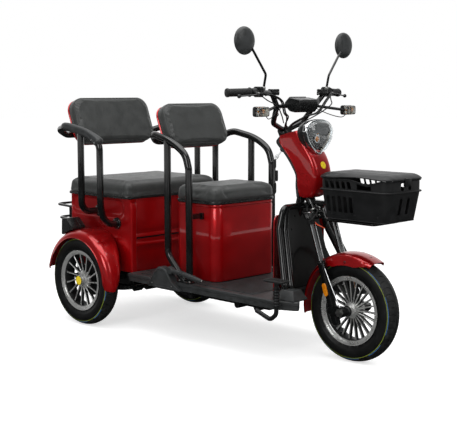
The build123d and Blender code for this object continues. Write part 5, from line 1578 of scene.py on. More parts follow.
def grip_spot(share, side, ahead=0.0, rise=0.0):
    """A place along a grip's run by share, shifted ahead and up in millimetres."""
    return mirrored(grip_start.lerp(grip_end, share), side) + Vector((ahead * MM, 0, rise * MM))


def handlebar_piece():
    """The swept handlebar: one bent tube, its cross brace and the clamp with four bolts."""
    bm = bmesh.new()
    centre = by_column(0, 0, 640) + Vector((4, 0, 4)) * MM
    left = [by_column(*corner) for corner in BAR_CORNERS]
    whole = [mirrored(point, -1) for point in reversed(left)] + [centre] + left
    tube(bm, rounded_path(whole, 26, 6), BAR_TUBE_R, steps=18)
    brace = by_column(*BAR_CORNERS[1])
    tube(bm, [mirrored(brace, -1), mirrored(brace, 1)], 8, steps=14)
    foot = by_column(0, 0, 640) - steer_up * 14 * MM
    turned(bm, [(0, 0), (25, 0), (26, 2), (26, 27), (24, 30), (0, 30)], foot, steer_up, 40,
           index=1)
    for across in (-16, 16):
        for ahead in (-14, 14):
            place = (foot + steer_up * 29 * MM + Vector((0, across * MM, 0))
                     + steer_ahead * ahead * MM)
            screw_head(bm, place, steer_up, 3.6, 3.0, index=2)
    piece("handlebar_tube", bm, [tube_black, smooth_black, zinc], "steering", ["handlebar"],
          crease=45)


def grip_pieces():
    """Ribbed rubber grips with round end caps, and a bright band at the throttle."""
    grips, bands = bmesh.new(), bmesh.new()
    for side in SIDES.values():
        start, end = grip_spot(0.13, side), grip_spot(1.03, side)
        axis = (end - start).normalized()
        long = (end - start).length / MM
        profile = [(11.6, 0), (18.5, 0), (19, 1.5), (19, 4), (16, 6)]
        for rib in range(11):
            at = 9 + rib * (long - 22) / 11
            wide = (long - 22) / 11
            profile += [(15.2, at), (15.9, at + 1), (15.9, at + wide - 1.4),
                        (15.2, at + wide - 0.5)]
        profile += [(16.2, long - 11), (17.6, long - 9), (17.9, long - 4), (16.6, long - 1),
                    (13, long), (0, long)]
        turned(grips, profile, start, axis, 36)
        turned(bands, [(15.3, long - 12.4), (16.6, long - 12), (16.6, long - 10.6),
                       (15.3, long - 10)], start, axis, 36)
    piece("handlebar_grips_ribbed", grips, rubber, "steering", ["handlebar_grips"],
          crease=35)
    piece("grip_end_bands", bands, smooth_black, "steering")


def brake_lever_pieces():
    """Cast brake levers: a perch on the bar, a flat tapering blade and a ball end."""
    blades, perches = bmesh.new(), bmesh.new()
    for side in SIDES.values():
        root = grip_spot(-0.02, side, 26, -8)
        middle, tip = grip_spot(0.2, side, 46, -10), grip_spot(0.86, side, 46, -14)
        path = rounded_path([root, middle, tip], 34, 8)
        count = len(path)
        radii = [7.4 - 2.6 * number / (count - 1) for number in range(count)]
        tube(blades, path, radii, steps=12, squeeze=0.62)
        heading = (tip - middle).normalized()
        turned(blades, [(0.1, -8.2)] + [(8 * math.cos(a), 8 * math.sin(a)) for a in
                                        (math.radians(t) for t in range(-72, 73, 18))]
               + [(0.1, 8.2)], tip, heading, 20)
        bar = grip_spot(-0.02, side)
        turned(perches, [(11.2, -11), (15, -11), (15.6, -9), (15.6, 9), (15, 11), (11.2, 11)],
               bar, (grip_end - grip_start) if side > 0 else mirrored(grip_end - grip_start, -1),
               28)
        tube(perches, [bar + Vector((10 * MM, 0, -2 * MM)), root], [10, 8], steps=12, squeeze=0.7)
        turned(perches, [(0, -7), (5, -7), (5.6, -6), (5.6, 6), (5, 7), (0, 7)], root, (0, 0, 1),
               20, index=1)
        tube(perches, [root + Vector((2, -side * 4, 0)) * MM,
                       root + Vector((6, -side * 26, 3)) * MM], [5.6, 4.2], steps=12)
    piece("brake_lever_blades", blades, smooth_black, "steering", ["brake_levers"],
          crease=50)
    piece("brake_lever_perches", perches, [matt_black, zinc], "steering", crease=40)


def switch_pieces():
    """Switch pods and the master boxes on the bar: rounded cases, buttons, split lines."""
    pods, buttons = bmesh.new(), bmesh.new()
    for side in SIDES.values():
        centre = grip_spot(-0.19, side)

        def on_pod(x, z, depth, centre=centre, side=side):
            return centre + Vector((x * MM, side * depth * MM, z * MM))

        outline = rounded_rect(22, 21, 12, 6)
        small = scaled(outline, 0.93, 0.93)
        tight = scaled(outline, 0.96, 0.96)
        stack(pods, [(small, -9), (outline, -7.5), (outline, -0.6), (tight, -0.3), (tight, 0.3),
                     (outline, 0.6), (outline, 7.5), (small, 9)], on_pod)
        turned(buttons, [(0, 3.4), (4.2, 3.4), (5, 2.4), (5, -2)], on_pod(-22, 6, 0), (-1, 0, 0),
               20, index=1 if side < 0 else 2)
        turned(buttons, [(0, 3), (3.6, 3), (4.2, 2), (4.2, -2)], on_pod(-21, -8, 2), (-1, 0, 0),
               20, index=0)
        top = mirrored(by_column(*BAR_CORNERS[1]).lerp(by_column(*BAR_CORNERS[2]), 0.74), side)

        def on_case(x, y, depth, top=top):
            return top + Vector((x * MM, y * MM, (18 + depth) * MM))

        plan = rounded_rect(16, 20, 5, 4)
        plan = [(x + 2, y) for x, y in plan]
        inner = [(x * 0.9 + 0.2, y * 0.92) for x, y in plan]
        stack(pods, [(inner, -12), (plan, -9), (plan, 3), (inner, 3.4), (inner, 4.4), (plan, 4.8),
                     (plan, 9.4), (inner, 12)], on_case)
        for x, y in ((-8, -14), (12, 14)):
            screw_head(buttons, on_case(x, y, 12), (0, 0, 1), 2.2, 1.0, index=3)
        tube(pods, [on_case(2, -side * 18, -4), on_case(0, -side * 30, -10)], 4.2, steps=12)
    piece("switch_cases", pods, smooth_black, "steering", ["control_boxes"],
          crease=35)
    piece("switch_buttons", buttons, [smooth_black, tail_red, amber, zinc], "steering")


def display_piece():
    """The instrument housing: a sloped dark glass face in a rim, and two trim lines ahead."""
    side_view = [(151.5, 784), (210.2, 774), (192.4, 748), (156.5, 722), (123.7, 728),
                 (111.7, 758)]
    middle = (sum(x for x, _ in side_view) / 6, sum(z for _, z in side_view) / 6)
    corners = [Vector((x, z, 0)) for x, z in side_view]
    rounded = []
    for number, corner in enumerate(corners):
        before, after = corners[number - 1], corners[(number + 1) % 6]
        back, ahead = (before - corner).normalized() * 8, (after - corner).normalized() * 8
        rounded += [corner + back * (1 - t) ** 2 + ahead * t * t
                    for t in (0, 0.25, 0.5, 0.75, 1)]
    bm = bmesh.new()

    def ring(half, scale):
        return [by_column(middle[0] + (point.x - middle[0]) * scale, half,
                          middle[1] + (point.y - middle[1]) * scale) for point in rounded]

    skin(bm, [ring(-62, 0.86), ring(-61, 0.94), ring(-58, 1.0), ring(-33, 1.0), ring(-32.4, 0.985),
              ring(-31.8, 1.0), ring(31.8, 1.0), ring(32.4, 0.985), ring(33, 1.0), ring(58, 1.0),
              ring(61, 0.94), ring(62, 0.86)], caps=(True, True))
    piece("display_housing", bm, smooth_black, "steering", ["dash_display"],
          crease=40)
    face, lips = bmesh.new(), bmesh.new()
    low, high = by_column(113.5, 0, 761), by_column(148, 0, 782.6)
    run = (high - low).normalized()
    normal = run.cross(Vector((0, 1, 0)))
    if normal.z < 0:
        normal = -normal

    def on_face(across, along, depth):
        spot = (low + high) / 2 + run * along * MM + normal * depth * MM
        return Vector((spot.x, across * MM, spot.z))

    glass = rounded_rect(50, 16, 5, 5)
    stack(face, [(glass, -2), (glass, 0.8), (scaled(glass, 0.985, 0.95), 1.3)], on_face)
    piece("display_glass", face, dark_glass, "steering")
    frame_line = [on_face(x, y, 0.8) for x, y in rounded_rect(52.5, 18, 6, 6)]
    tube(lips, frame_line, 1.5, steps=8, closed=True)
    front_low, front_high = by_column(194, 0, 750.4), by_column(208, 0, 771.0)
    for level in (0.25, 0.62):
        line = front_low.lerp(front_high, level)
        tube(lips, [line + Vector((0.4 * MM, across * MM, 0)) for across in (-46, -20, 20, 46)],
             1.3, steps=8)
    piece("display_trims", lips, smooth_black, "steering")


def mirror_pieces(side_name, side):
    """A round mirror: glass toward the rider, a domed back with a rim, on a bent stalk."""
    stalk, head, glass = bmesh.new(), bmesh.new(), bmesh.new()
    corners = [by_column(153.7, 196, 814.5), by_column(198.4, 196, 874),
               by_column(263.4, 296, 1000)]
    path = rounded_path([mirrored(corner, side) for corner in corners], 22, 7)
    tube(stalk, path, 5, steps=14)
    turned(stalk, [(5, -4), (8.4, -4), (9, -2), (9, 8), (7, 12), (5.2, 13)], path[0],
           path[1] - path[0], 6, index=1)
    face = mirrored(by_column(249.4, 307, 1002), side)
    turned(head, [(48, 0.6), (51.5, -0.6), (54, 1.5), (54.6, 5), (53.6, 9.4), (50.8, 13.4),
                  (46, 17.2), (38, 20.8), (28, 23.2), (15, 24.6), (0, 25)], face, (1, 0, 0), 56)
    turned(glass, [(0, -0.4), (46, -0.4), (48.4, 0.2), (48.4, 2)], face, (1, 0, 0), 56)
    piece(f"mirror_head_{side_name}", head, charcoal, "steering", [f"mirror_{side_name}"],
          crease=50)
    piece(f"mirror_stalk_{side_name}", stalk, [tube_black, zinc], "steering", crease=45)
    piece(f"mirror_glass_{side_name}", glass, mirror_face, "steering")


def signal_pieces():
    """Turn signals on stalks: a black base, a clear lens and the amber bulb inside."""
    bases, lenses, bulbs = bmesh.new(), bmesh.new(), bmesh.new()
    for side in SIDES.values():
        root = mirrored(by_column(*BAR_CORNERS[1]), side)
        tip = mirrored(by_column(165.8, 246, 730), side)
        tube(bases, [root, tip], 6, steps=14)
        centre = Vector((tip.x + 1 * MM, side * 272 * MM, tip.z - 1 * MM))

        def put(y, z, depth, centre=centre):
            return centre + Vector((depth * MM, y * MM, z * MM))

        back = rounded_rect(31, 20, 7, 5)
        mid = scaled(back, 0.97, 0.96)
        bowl = scaled(back, 0.9, 0.88)
        stack(bases, [(scaled(back, 0.8, 0.8), -22), (scaled(back, 0.95, 0.94), -17),
                      (back, -10), (back, -2), (mid, -1.4), (mid, 0)], put)
        stack(lenses, [(mid, -1), (scaled(back, 0.965, 0.955), 10),
                       (scaled(back, 0.93, 0.9), 18), (scaled(back, 0.8, 0.74), 22)], put)
        stack(lenses, [(scaled(back, 0.92, 0.9), 0), (bowl, 16),
                       (scaled(back, 0.76, 0.7), 19.6)], put)
        stack(bulbs, [(bowl, 0.4), (scaled(back, 0.6, 0.5), 1.6)], put, index=1)
        turned(bulbs, [(0, 1), (4, 1), (4, 5), (7, 8), (7.6, 12), (5.6, 16), (0, 17.6)],
               centre + Vector((0, side * 4, 0)) * MM, (1, 0, 0), 20)
    bmesh.ops.recalc_face_normals(lenses, faces=lenses.faces)
    piece("signal_bases", bases, smooth_black, "steering", ["turn_signals"],
          crease=45)
    piece("signal_lenses", lenses, clear_lens, "steering", crease=45)
    piece("signal_bulbs", bulbs, [amber, lamp_bowl], "steering", crease=45)


def cable_pieces():
    """Control cables from the column to each control, and two collars on each side's bar."""
    bm = bmesh.new()
    for side in SIDES.values():
        for spread in (0, 9):
            run = [by_column(30, side * (7 + spread), 620),
                   by_column(33, side * (10 + spread), 664),
                   by_column(97 + spread, side * 58, 704),
                   by_column(132.5 + spread, side * 104, 722),
                   by_column(172.1 + spread, side * 140, 770),
                   by_column(170.8 + spread, side * 186, 794),
                   mirrored(by_column(156, 212 - spread, 800 - spread), side)]
            tube(bm, smooth_curve(run, 7), 3, steps=10)
        loop = [grip_spot(-0.15, side, 20, -14), grip_spot(-0.3, side, 34, -34),
                mirrored(by_column(168, 170, 752), side), mirrored(by_column(128, 118, 716), side),
                mirrored(by_column(70, 60, 680), side)]
        tube(bm, smooth_curve(loop, 8), 2.4, steps=10)
        signal = [mirrored(by_column(163, 250, 712), side),
                  mirrored(by_column(150, 226, 700), side),
                  mirrored(by_column(134, 170, 714), side),
                  mirrored(by_column(118, 122, 738), side)]
        tube(bm, smooth_curve(signal, 7), 1.8, steps=8)
        for rise, ahead, across in ((742, 118, 115), (716, 84, 104)):
            place = mirrored(by_column(ahead, across, rise), side)
            turned(bm, [(11.6, -3), (13, -2.4), (13, 2.4), (11.6, 3)], place,
                   mirrored(by_column(*BAR_CORNERS[1]) - by_column(*BAR_CORNERS[0]), side), 20)
    piece("control_cable_runs", bm, rubber, "steering", ["control_cables"], crease=60)


handlebar_piece()
grip_pieces()
brake_lever_pieces()
switch_pieces()
display_piece()
for side_name, side in SIDES.items():
    mirror_pieces(side_name, side)
signal_pieces()
cable_pieces()

# ---- seat frames, armrests and the rear end ----
FRONT_LOOP_UP, REAR_LOOP_UP, LOOP_DEPTH = -52.0, -48.0, -84.1


def arm_frame(arms, braces, loop):
    """A seat's tube frame: two arms joined behind the backrest, and a brace on each side."""
    bm = bmesh.new()
    left = [from_rear(*corner) for corner in arms] + [loop]
    whole = left + [mirrored(point, -1) for point in reversed(left)]
    bends = [44] + [400] * (len(left) - 3) + [56, 56] + [400] * (len(left) - 3) + [44]
    tube(bm, rounded_path(whole, bends, 9), ARM_TUBE_R, steps=24)
    for corners, bend in braces:
        for side in SIDES.values():
            route = [mirrored(from_rear(*corner), side) for corner in corners]
            tube(bm, rounded_path(route, bend, 9), ARM_TUBE_R, steps=24)
    return bm


def loop_corner(put, half, up):
    """Where an arm's tube turns behind a backrest."""
    spot = put(0, up, LOOP_DEPTH)
    return Vector((spot.x, half * MM, spot.z))


def seat_frame_pieces():
    """Gloss black arm tubes with flanges, foot plates and bolts."""
    arms = [(615, 260, 1), (611, 260, 484), (593, 260, 542), (547, 261, 575), (486, 262, 600),
            (367, 248, 626)]
    bm = arm_frame(arms,
                   [([(481, 262, 598), (481, 262, 110), (583, 260, 1)], 66)],
                   loop_corner(leaning(393, 668, 22.0), 197, FRONT_LOOP_UP))
    for side in SIDES.values():
        plan = rounded_rect(40, 26, 8, 4)

        def on_deck(x, y, depth, side=side):
            return from_rear(599 + x, side * 260 + y, depth)

        stack(bm, [(plan, 0.4), (plan, 4.4), (scaled(plan, 0.97, 0.96), 5.3)], on_deck)
        for x, y in ((-30, 17), (30, 17), (-30, -17), (30, -17)):
            screw_head(bm, on_deck(x, y, 5.2), (0, 0, 1), 5.5, 4, index=1)

        def beside(x, z, depth, side=side):
            return from_rear(610 + x, side * depth, z)

        arm = [(-13, 270.5), (13, 270.5), (13, 291.5), (-13, 291.5)]
        stack(bm, [(arm, 195), (arm, 257)], beside)
        pad = rounded_rect(9, 14, 3, 3)
        pad = [(x + 10, z + 280) for x, z in pad]
        stack(bm, [(pad, 187.4), (pad, 199)], beside)
    piece("front_arm_tubes", bm, [tube_black, zinc], "chassis", ["front_seat_frame"],
          crease=45)
    arms = [(140, 262.5, 212), (140, 308, 212), (141, 343, 238), (144, 359, 280), (144, 362, 330),
            (144, 362, 588), (60, 365, 618), (-88, 365, 646), (-204, 327, 630)]
    bm = arm_frame(arms,
                   [([(12, 262.5, 262), (12, 365, 262), (12, 365, 626)], 84)],
                   loop_corner(leaning(-183, 676, 20.6), 250, REAR_LOOP_UP))
    for side in SIDES.values():
        for ahead, rise in ((140, 212), (12, 262)):
            base = mirrored(from_rear(ahead, 262.3, rise), side)
            turned(bm, [(0, 0), (26, 0), (27, 1.2), (27, 5.6), (25.6, 7), (16.5, 7.2), (16.5, 12),
                        (15.5, 13)], base, (0, side, 0), 36)
            for a in (0.7, 2.3, 3.9, 5.5):
                spot = base + Vector((21.5 * math.cos(a), side * 6.8, 21.5 * math.sin(a))) * MM
                screw_head(bm, spot, (0, side, 0), 3.0, 2.0, index=1)
    piece("rear_arm_tubes", bm, [tube_black, zinc], "chassis", ["rear_seat_frame"],
          crease=45)


def armrest_piece():
    """Moulded armrests: an S-shaped pad with a swollen front end and a flat cap behind."""
    pads, screws = bmesh.new(), bmesh.new()
    for side in SIDES.values():
        line = [(-112, 359, 648), (-84, 364.5, 647), (-40, 365, 640), (0, 365, 632), (40, 365, 624),
                (76, 364.5, 613), (104, 363.5, 601), (128, 362.5, 590), (150, 362, 574)]
        path = evenly(smooth_curve([mirrored(from_rear(*point), side) for point in line], 5), 34)
        rings = []
        for number, point in enumerate(path):
            share = number / 33
            before, after = path[max(number - 1, 0)], path[min(number + 1, 33)]
            heading = (after - before).normalized()
            across = Vector((0, 0, 1)).cross(heading).normalized()
            upward = heading.cross(across).normalized()
            wide = 19.5 - 1.8 * math.sin(share * math.pi) + 4.5 * max(0.0, (share - 0.72) / 0.28)
            tall = 17.5 + 2.0 * math.sin(share * math.pi) + 4.0 * max(0.0, (share - 0.72) / 0.28)
            cut = 1.0
            if share > 0.93:
                cut = math.sqrt(max(0.0, 1 - ((share - 0.93) / 0.07) ** 2)) * 0.75 + 0.25
            if share < 0.03:
                cut = 0.93
            ring = []
            for step in range(28):
                a = math.tau * step / 28
                c, s = math.cos(a), math.sin(a)
                c = math.copysign(abs(c) ** 0.8, c)
                s = math.copysign(abs(s) ** 0.8, s)
                ring.append(point + (across * c * wide + upward * s * tall) * cut * MM)
            rings.append(ring)
        skin(pads, rings, caps=(True, True))
        for ahead in (112, 134):
            where = mirrored(from_rear(ahead, 383.6, 593 - (ahead - 112) * 0.55), side)
            screw_head(screws, where, (0.1, side, 0.2), 3.4, 2.2)
        end = mirrored(from_rear(-112, 359, 648), side)
        axis = (path[0] - path[2]).normalized()
        turned(screws, [(0, 1.2), (15.5, 1.2), (17.4, 0.6), (17.4, -1)], end, axis, 30, index=1)
    piece("armrest_pads", pads, charcoal, "chassis", ["armrest_sleeves"],
          crease=60)
    piece("armrest_screws", screws, [chrome, charcoal], "chassis")


def tail_light_pieces():
    """Tail lights: a black wedge housing over the mudguard with a red lens facing back."""
    cases, lenses = bmesh.new(), bmesh.new()
    crown = TYRE_R + GUARD_R
    for side in SIDES.values():
        def put(x, z, depth, side=side):
            return from_rear(x, side * (TRACK_HALF + depth), z + crown - 262)

        under = [(math.cos(a) * 235, math.sin(a) * 235 - 234) for a in
                 (math.radians(t) for t in range(101, 122, 4))]
        outline = [(-44, 4), (-48, 10), (-82, 42), (-89, 46), (-118, 44), (-124, 39),
                   (-127, -30)] + [(x, z) for x, z in reversed(under)]
        rim = [(x * 0.985 - 1, z * 0.96 + 0.6) for x, z in outline]
        stack(cases, [(rim, -38), (outline, -35.5), (outline, -13), (rim, -12.6), (rim, -12),
                      (outline, -11.6), (outline, 35.5), (rim, 38)], put)

        def behind(y, z, depth, side=side):
            return from_rear(-124 + z * 0.04 - depth, side * TRACK_HALF + y, z + 3 + crown - 262)

        shape = rounded_rect(30, 28, 8, 5)
        stack(lenses, [(shape, -1), (shape, 4), (scaled(shape, 0.93, 0.94), 6.5)], behind)
        stack(lenses, [([(y * 0.9, z * 0.26 - 19) for y, z in shape], 6),
                       ([(y * 0.88, z * 0.24 - 19) for y, z in shape], 8)], behind, index=1)
        frame_line = [behind(y, z, 3.4) for y, z in rounded_rect(32, 30, 9, 5)]
        tube(cases, frame_line, 1.8, steps=8, closed=True, index=1)
    piece("tail_light_cases", cases, [smooth_black, chrome], "chassis", ["tail_lights"],
          crease=40)
    piece("tail_light_lenses", lenses, [tail_red, amber], "chassis", crease=40)


def rear_box_piece():
    """The black carrier box behind the body: a parting groove and a sunk back with ribs."""
    bm = bmesh.new()

    def put(y, z, depth):
        return from_rear(-215.3 - depth, y, 135.5 + z)

    outline = rounded_rect(150, 107.5, 10, 5)
    groove = scaled(outline, 0.992, 0.99)
    stack(bm, [(outline, 0), (outline, 24), (groove, 25), (groove, 26.5), (outline, 27.5),
               (outline, 31), (scaled(outline, 0.975, 0.965), 35),
               (scaled(outline, 0.9, 0.88), 35.6), (scaled(outline, 0.89, 0.87), 34)], put)
    for row in range(-2, 3):
        rib = [(y, z + row * 26) for y, z in rounded_rect(108, 3, 2.6, 3)]
        stack(bm, [(rib, 33), (rib, 36)], put)
    piece("rear_carrier_box", bm, matt_black, "chassis", ["rear_box"], crease=40)


seat_frame_pieces()
armrest_piece()
tail_light_pieces()
rear_box_piece()


# ---- controls on the deck, leg shield and apron ----
def handbrake_pieces():
    """The handbrake: a faceted console with a panelled face, a hump and a grip to its lever."""
    console, lever = bmesh.new(), bmesh.new()

    def put(x, z, depth):
        return from_rear(x, -depth, z)

    outline = [(403, -34), (404, -20), (443, 36), (449, 42), (468, 57), (476, 59), (514, 52),
               (521, 46), (553, 2), (601, -30), (603, -34)]
    face = scaled(outline, 0.86, 0.8, (490, 6))
    inner = scaled(outline, 0.985, 0.96, (490, 0))
    deep = scaled(outline, 0.84, 0.77, (490, 6))
    stack(console, [(inner, 272.5), (outline, 275), (outline, 309), (inner, 312), (face, 314),
                    (deep, 311.5)], put)
    for x, z in ((432, -16), (556, -18)):
        screw_head(console, put(x, z, 313), (0, -1, 0), 3.4, 1.6, index=1)
    route = [(507, 40), (545, 45), (583, 44), (640, 37), (723, 24)]
    path = evenly(smooth_curve([put(x, z, 296) for x, z in route], 6), 30)
    radii = []
    for number in range(30):
        share = number / 29
        swell = 10.5 if share < 0.32 else 9.6 + 2.2 * math.sin((share - 0.32) / 0.68 * math.pi)
        radii.append(swell if share < 0.98 else 9.0)
    tube(lever, path, radii, steps=20, squeeze=0.86)
    for share in (0.42, 0.5, 0.58, 0.66, 0.74, 0.82):
        spot = path[int(share * 29)]
        turned(lever, [(10.6, -1.4), (12.2, 0), (10.6, 1.4)], spot, path[-1] - path[12], 24)
    turned(lever, [(0, 4), (4.4, 4), (5.2, 2.6), (5.2, -4)], path[-1], path[-1] - path[-3], 20,
           index=1)
    hump = [(500, 40), (508, 57), (524, 64), (546, 60), (556, 48), (552, 34), (520, 30)]
    small = scaled(hump, 0.97, 0.95, (528, 48))
    stack(lever, [(small, 283), (hump, 285.5), (hump, 306), (small, 308.5)], put)
    piece("handbrake_housing", console, [charcoal, zinc], "chassis", ["handbrake_console"],
          bevel=1.4, crease=28)
    piece("handbrake_handle", lever, [charcoal, zinc], "chassis", ["handbrake_lever"],
          crease=40)


def pedal_piece():
    """The brake pedal: a bent arm, a rubber boot and a ribbed foot plate."""
    bm = bmesh.new()

    def put(x, y, z):
        return from_front(-137 + x, -310 + y, z)

    tube(bm, rounded_path([put(-105, 0, -46.3), put(-30, 0, -72), put(0, 0, -47),
                           put(0, 0, 84)], 24, 8), 9, steps=16, index=1)
    profile = []
    for ring in range(7):
        profile += [(11, ring * 11), (14.5, ring * 11 + 4.5), (11, ring * 11 + 9)]
    turned(bm, [(9, -1)] + profile + [(9.2, 78)], put(0, 0, -16), (0, 0, 1), 24, index=1)
    plan = rounded_rect(48, 28, 9, 5)
    stack(bm, [(scaled(plan, 0.95, 0.93), 80), (plan, 82), (plan, 87),
               (scaled(plan, 0.97, 0.95), 88.5)], put, index=0)
    for row in range(-3, 4):
        bar = [(x + row * 12, y) for x, y in rounded_rect(3, 23, 2.4, 3)]
        stack(bm, [(bar, 88), (bar, 90)], put, index=0)
    piece("brake_pedal_arm", bm, [rubber, matt_black], "chassis", ["brake_pedal"],
          crease=40)


def shield_edge(rise):
    """Half width, middle and edge positions of the leg shield at a height, from the front hub."""
    levels = [(0.3, 178, -266, 66), (158, 118, -274, 30), (339, 96, -286, 1)]
    for (low, *a), (high, *b) in zip(levels, levels[1:]):
        if rise <= high:
            share = (rise - low) / (high - low)
            return [p + (q - p) * share for p, q in zip(a, b)]
    return levels[-1][1:]


def leg_shield_piece():
    """The dark leg shield ahead of the rider's knees: a sunk wheel arch, bolt holes as painted
    shade.
    """
    bm, holes = bmesh.new(), bmesh.new()

    def place(rise, share, depth):
        half, middle, edge = shield_edge(rise)
        bow = edge * share * share
        arch = math.hypot(share * half, (rise + 10) * 0.62)
        sink = 9.0 * max(0.0, min(1.0, (112 - arch) / 10))
        return from_front(middle + bow - sink - depth, share * half, rise)

    rises = [0.3 + 338.7 * n / 46 for n in range(47)]
    shares = [-1 + 2 * n / 40 for n in range(41)]
    rings = []
    for rise in rises:
        shorten = 1 - 0.16 * max(0.0, (rise - 322) / 17) ** 2
        front = [place(rise, share * shorten, -1.8) for share in shares]
        back = [place(rise, share * shorten, 1.8) for share in reversed(shares)]
        rings.append(front + back)
    skin(bm, rings, caps=(True, True))
    # The bolt holes are flat near-black discs on the face: painted shade in place of their hollows.
    for rise, share in ((248, -0.66), (248, 0.66), (150, -0.72), (150, 0.72), (300, -0.4),
                        (300, 0.4)):
        spot = place(rise, share, -1.2)
        turned(holes, [(0, 1.0), (3.4, 1.0), (4.6, 0.8), (4.6, -0.6)], spot,
               (0.95, share * 0.3, 0.05), 16)
    piece("leg_shield_panel", bm, charcoal_dark, "chassis", ["leg_shield"],
          crease=30)
    piece("leg_shield_holes", holes, painted_shade_black, "chassis")


def apron_piece():
    """The red inner apron behind the guard tubes, bowed back with rounded upper corners."""
    bm = bmesh.new()
    rings = []
    for row in range(41):
        rise = 0.3 + 305.7 * row / 40
        corner = max(0.0, rise - 262) / 44
        half = 158 - 44 * (1 - math.sqrt(max(0.0, 1 - min(1.0, corner) ** 2)))
        ring = []
        for thick, shares in ((0, [-1 + 2 * n / 30 for n in range(31)]),
                              (5, [1 - 2 * n / 30 for n in range(31)])):
            for share in shares:
                across = share * half
                bow = 54 * (1 - (across / 158) ** 2)
                ring.append(from_front(-286 - bow - thick, across, rise))
        rings.append(ring)
    skin(bm, rings, caps=(True, True))
    piece("inner_apron", bm, candy_red, "chassis", ["front_apron"], crease=35)


handbrake_pieces()
pedal_piece()
leg_shield_piece()
apron_piece()

# ---- studio ----
def plain_floor():
    """A pale seamless floor that keeps the tricycle's shadow."""
    low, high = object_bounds()
    middle = (low + high) / 2
    made = bpy.data.materials.new("studio_floor")
    made.use_nodes = True
    tree = made.node_tree
    tree.nodes.clear()
    paint = add_node(tree, "ShaderNodeBsdfDiffuse", {}, {"Color": colour("#f2f2f2")})
    rays = add_node(tree, "ShaderNodeLightPath")
    seen = add_node(tree, "ShaderNodeMath", {"operation": "MAXIMUM"},
                    {0: rays.outputs["Is Camera Ray"], 1: rays.outputs["Is Glossy Ray"]})
    seen = add_node(tree, "ShaderNodeMath", {"operation": "MAXIMUM"},
                    {0: seen.outputs[0], 1: rays.outputs["Is Transmission Ray"]})
    lift = add_node(tree, "ShaderNodeMath", {"operation": "MULTIPLY"},
                    {0: seen.outputs[0], 1: 0.6})
    glow = add_node(tree, "ShaderNodeEmission", {}, {"Strength": lift.outputs[0]})
    both = add_node(tree, "ShaderNodeAddShader", {},
                    {0: paint.outputs[0], 1: glow.outputs[0]})
    add_node(tree, "ShaderNodeOutputMaterial", {}, {"Surface": both.outputs[0]})
    reach = 30.0
    sheet = bpy.data.meshes.new("studio_floor")
    sheet.from_pydata([(middle.x + x * reach, y * reach, low.z - 0.0005)
                       for x, y in ((-1, -1), (1, -1), (1, 1), (-1, 1))], [], [(0, 1, 2, 3)])
    floor = bpy.data.objects.new("studio_floor", sheet)
    bpy.context.scene.collection.objects.link(floor)
    floor.data.materials.append(made)


def studio_world():
    """Even pale light all round, and a white ground behind."""
    world = bpy.data.worlds.new("studio")
    bpy.context.scene.world = world
    world.use_nodes = True
    tree = world.node_tree
    tree.nodes.clear()
    rays = add_node(tree, "ShaderNodeLightPath")
    seen = add_node(tree, "ShaderNodeMath", {"operation": "MAXIMUM"},
                    {0: rays.outputs["Is Camera Ray"], 1: rays.outputs["Is Transmission Ray"]})
    way = add_node(tree, "ShaderNodeTexCoord").outputs["Generated"]
    behind = add_node(tree, "ShaderNodeVectorMath", {"operation": "DOT_PRODUCT"},
                      {0: way, 1: Vector((-0.69, 0.71, 0.12))})
    backdrop = add_node(tree, "ShaderNodeMapRange", {"interpolation_type": "SMOOTHSTEP"},
                        {"Value": behind.outputs["Value"], "From Min": 0.2, "From Max": 0.85,
                         "To Min": DARK_SIDE, "To Max": 0.95})
    gloss = add_node(tree, "ShaderNodeMix", {"data_type": "FLOAT"},
                     {0: rays.outputs["Is Glossy Ray"], 2: WORLD_LEVEL,
                      3: backdrop.outputs["Result"]})
    level = add_node(tree, "ShaderNodeMix", {"data_type": "FLOAT"},
                     {0: seen.outputs[0], 2: gloss.outputs[0], 3: 1.0})
    sky = add_node(tree, "ShaderNodeBackground", {},
                   {"Color": colour("#ffffff"), "Strength": level.outputs[0]})
    add_node(tree, "ShaderNodeOutputWorld", {}, {"Surface": sky.outputs[0]})


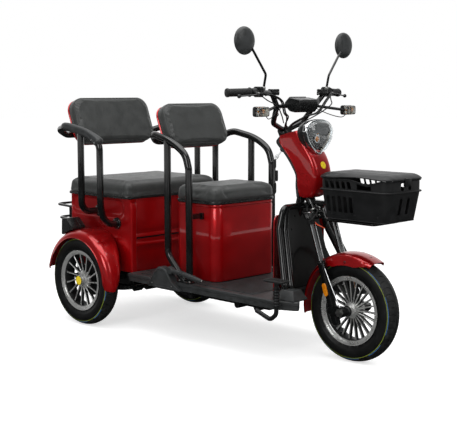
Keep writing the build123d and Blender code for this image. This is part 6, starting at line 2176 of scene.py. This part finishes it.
def soft_light(name, place, aim, size, power):
    """A large square softbox aimed at a point."""
    lamp = bpy.data.lights.new(name, "AREA")
    lamp.shape = "RECTANGLE"
    lamp.size, lamp.size_y = size
    lamp.energy = power
    made = bpy.data.objects.new(name, lamp)
    made.location = place
    made.rotation_euler = (Vector(aim) - Vector(place)).to_track_quat("-Z", "Y").to_euler()
    bpy.context.scene.collection.objects.link(made)


def dark_mat(name, place, length, width):
    """A black mat that only gloss picks up, so that paint stays deep low down."""
    made = bpy.data.materials.new("mat_cloth")
    made.use_nodes = True
    cloth = made.node_tree.nodes["Principled BSDF"].inputs
    cloth["Base Color"].default_value = colour("#101010")
    cloth["Roughness"].default_value = 1.0
    sheet = bpy.data.meshes.new(name)
    sheet.from_pydata([(x * length / 2, y * width / 2, 0)
                       for x, y in ((-1, -1), (1, -1), (1, 1), (-1, 1))], [], [(0, 1, 2, 3)])
    sheet.materials.append(made)
    mat = bpy.data.objects.new(name, sheet)
    mat.location = place
    mat.visible_camera = mat.visible_diffuse = False
    mat.visible_transmission = mat.visible_shadow = False
    bpy.context.scene.collection.objects.link(mat)


WORLD_LEVEL = 0.5
DARK_SIDE = 0.1
plain_floor()
studio_world()
soft_light("overhead_box", (0.2, -0.3, 3.0), (0.0, 0.0, 0.5), (3.2, 2.4), 62)
soft_light("key_box", (1.2, -3.4, 2.3), (0.1, 0.0, 0.6), (1.6, 1.6), 34)
soft_light("fill_box", (3.4, 0.3, 2.6), (0.3, 0.0, 0.6), (1.4, 1.8), 18)
dark_mat("floor_mat", (0.0, 0.0, 0.001), 15.0, 15.0)

# ---- camera ----
camera = bpy.data.objects.new("camera", bpy.data.cameras.new("camera"))
camera.data.sensor_width = 36.0
camera.data.lens = 80.77
camera.location = (3.1882, -3.2083, 1.0716)
aim = Vector((0.0887, -0.0520, 0.5230))
camera.rotation_euler = (aim - camera.location).to_track_quat("-Z", "Y").to_euler()
bpy.context.scene.collection.objects.link(camera)
bpy.context.scene.camera = camera
bpy.context.scene.view_settings.view_transform = "Standard"
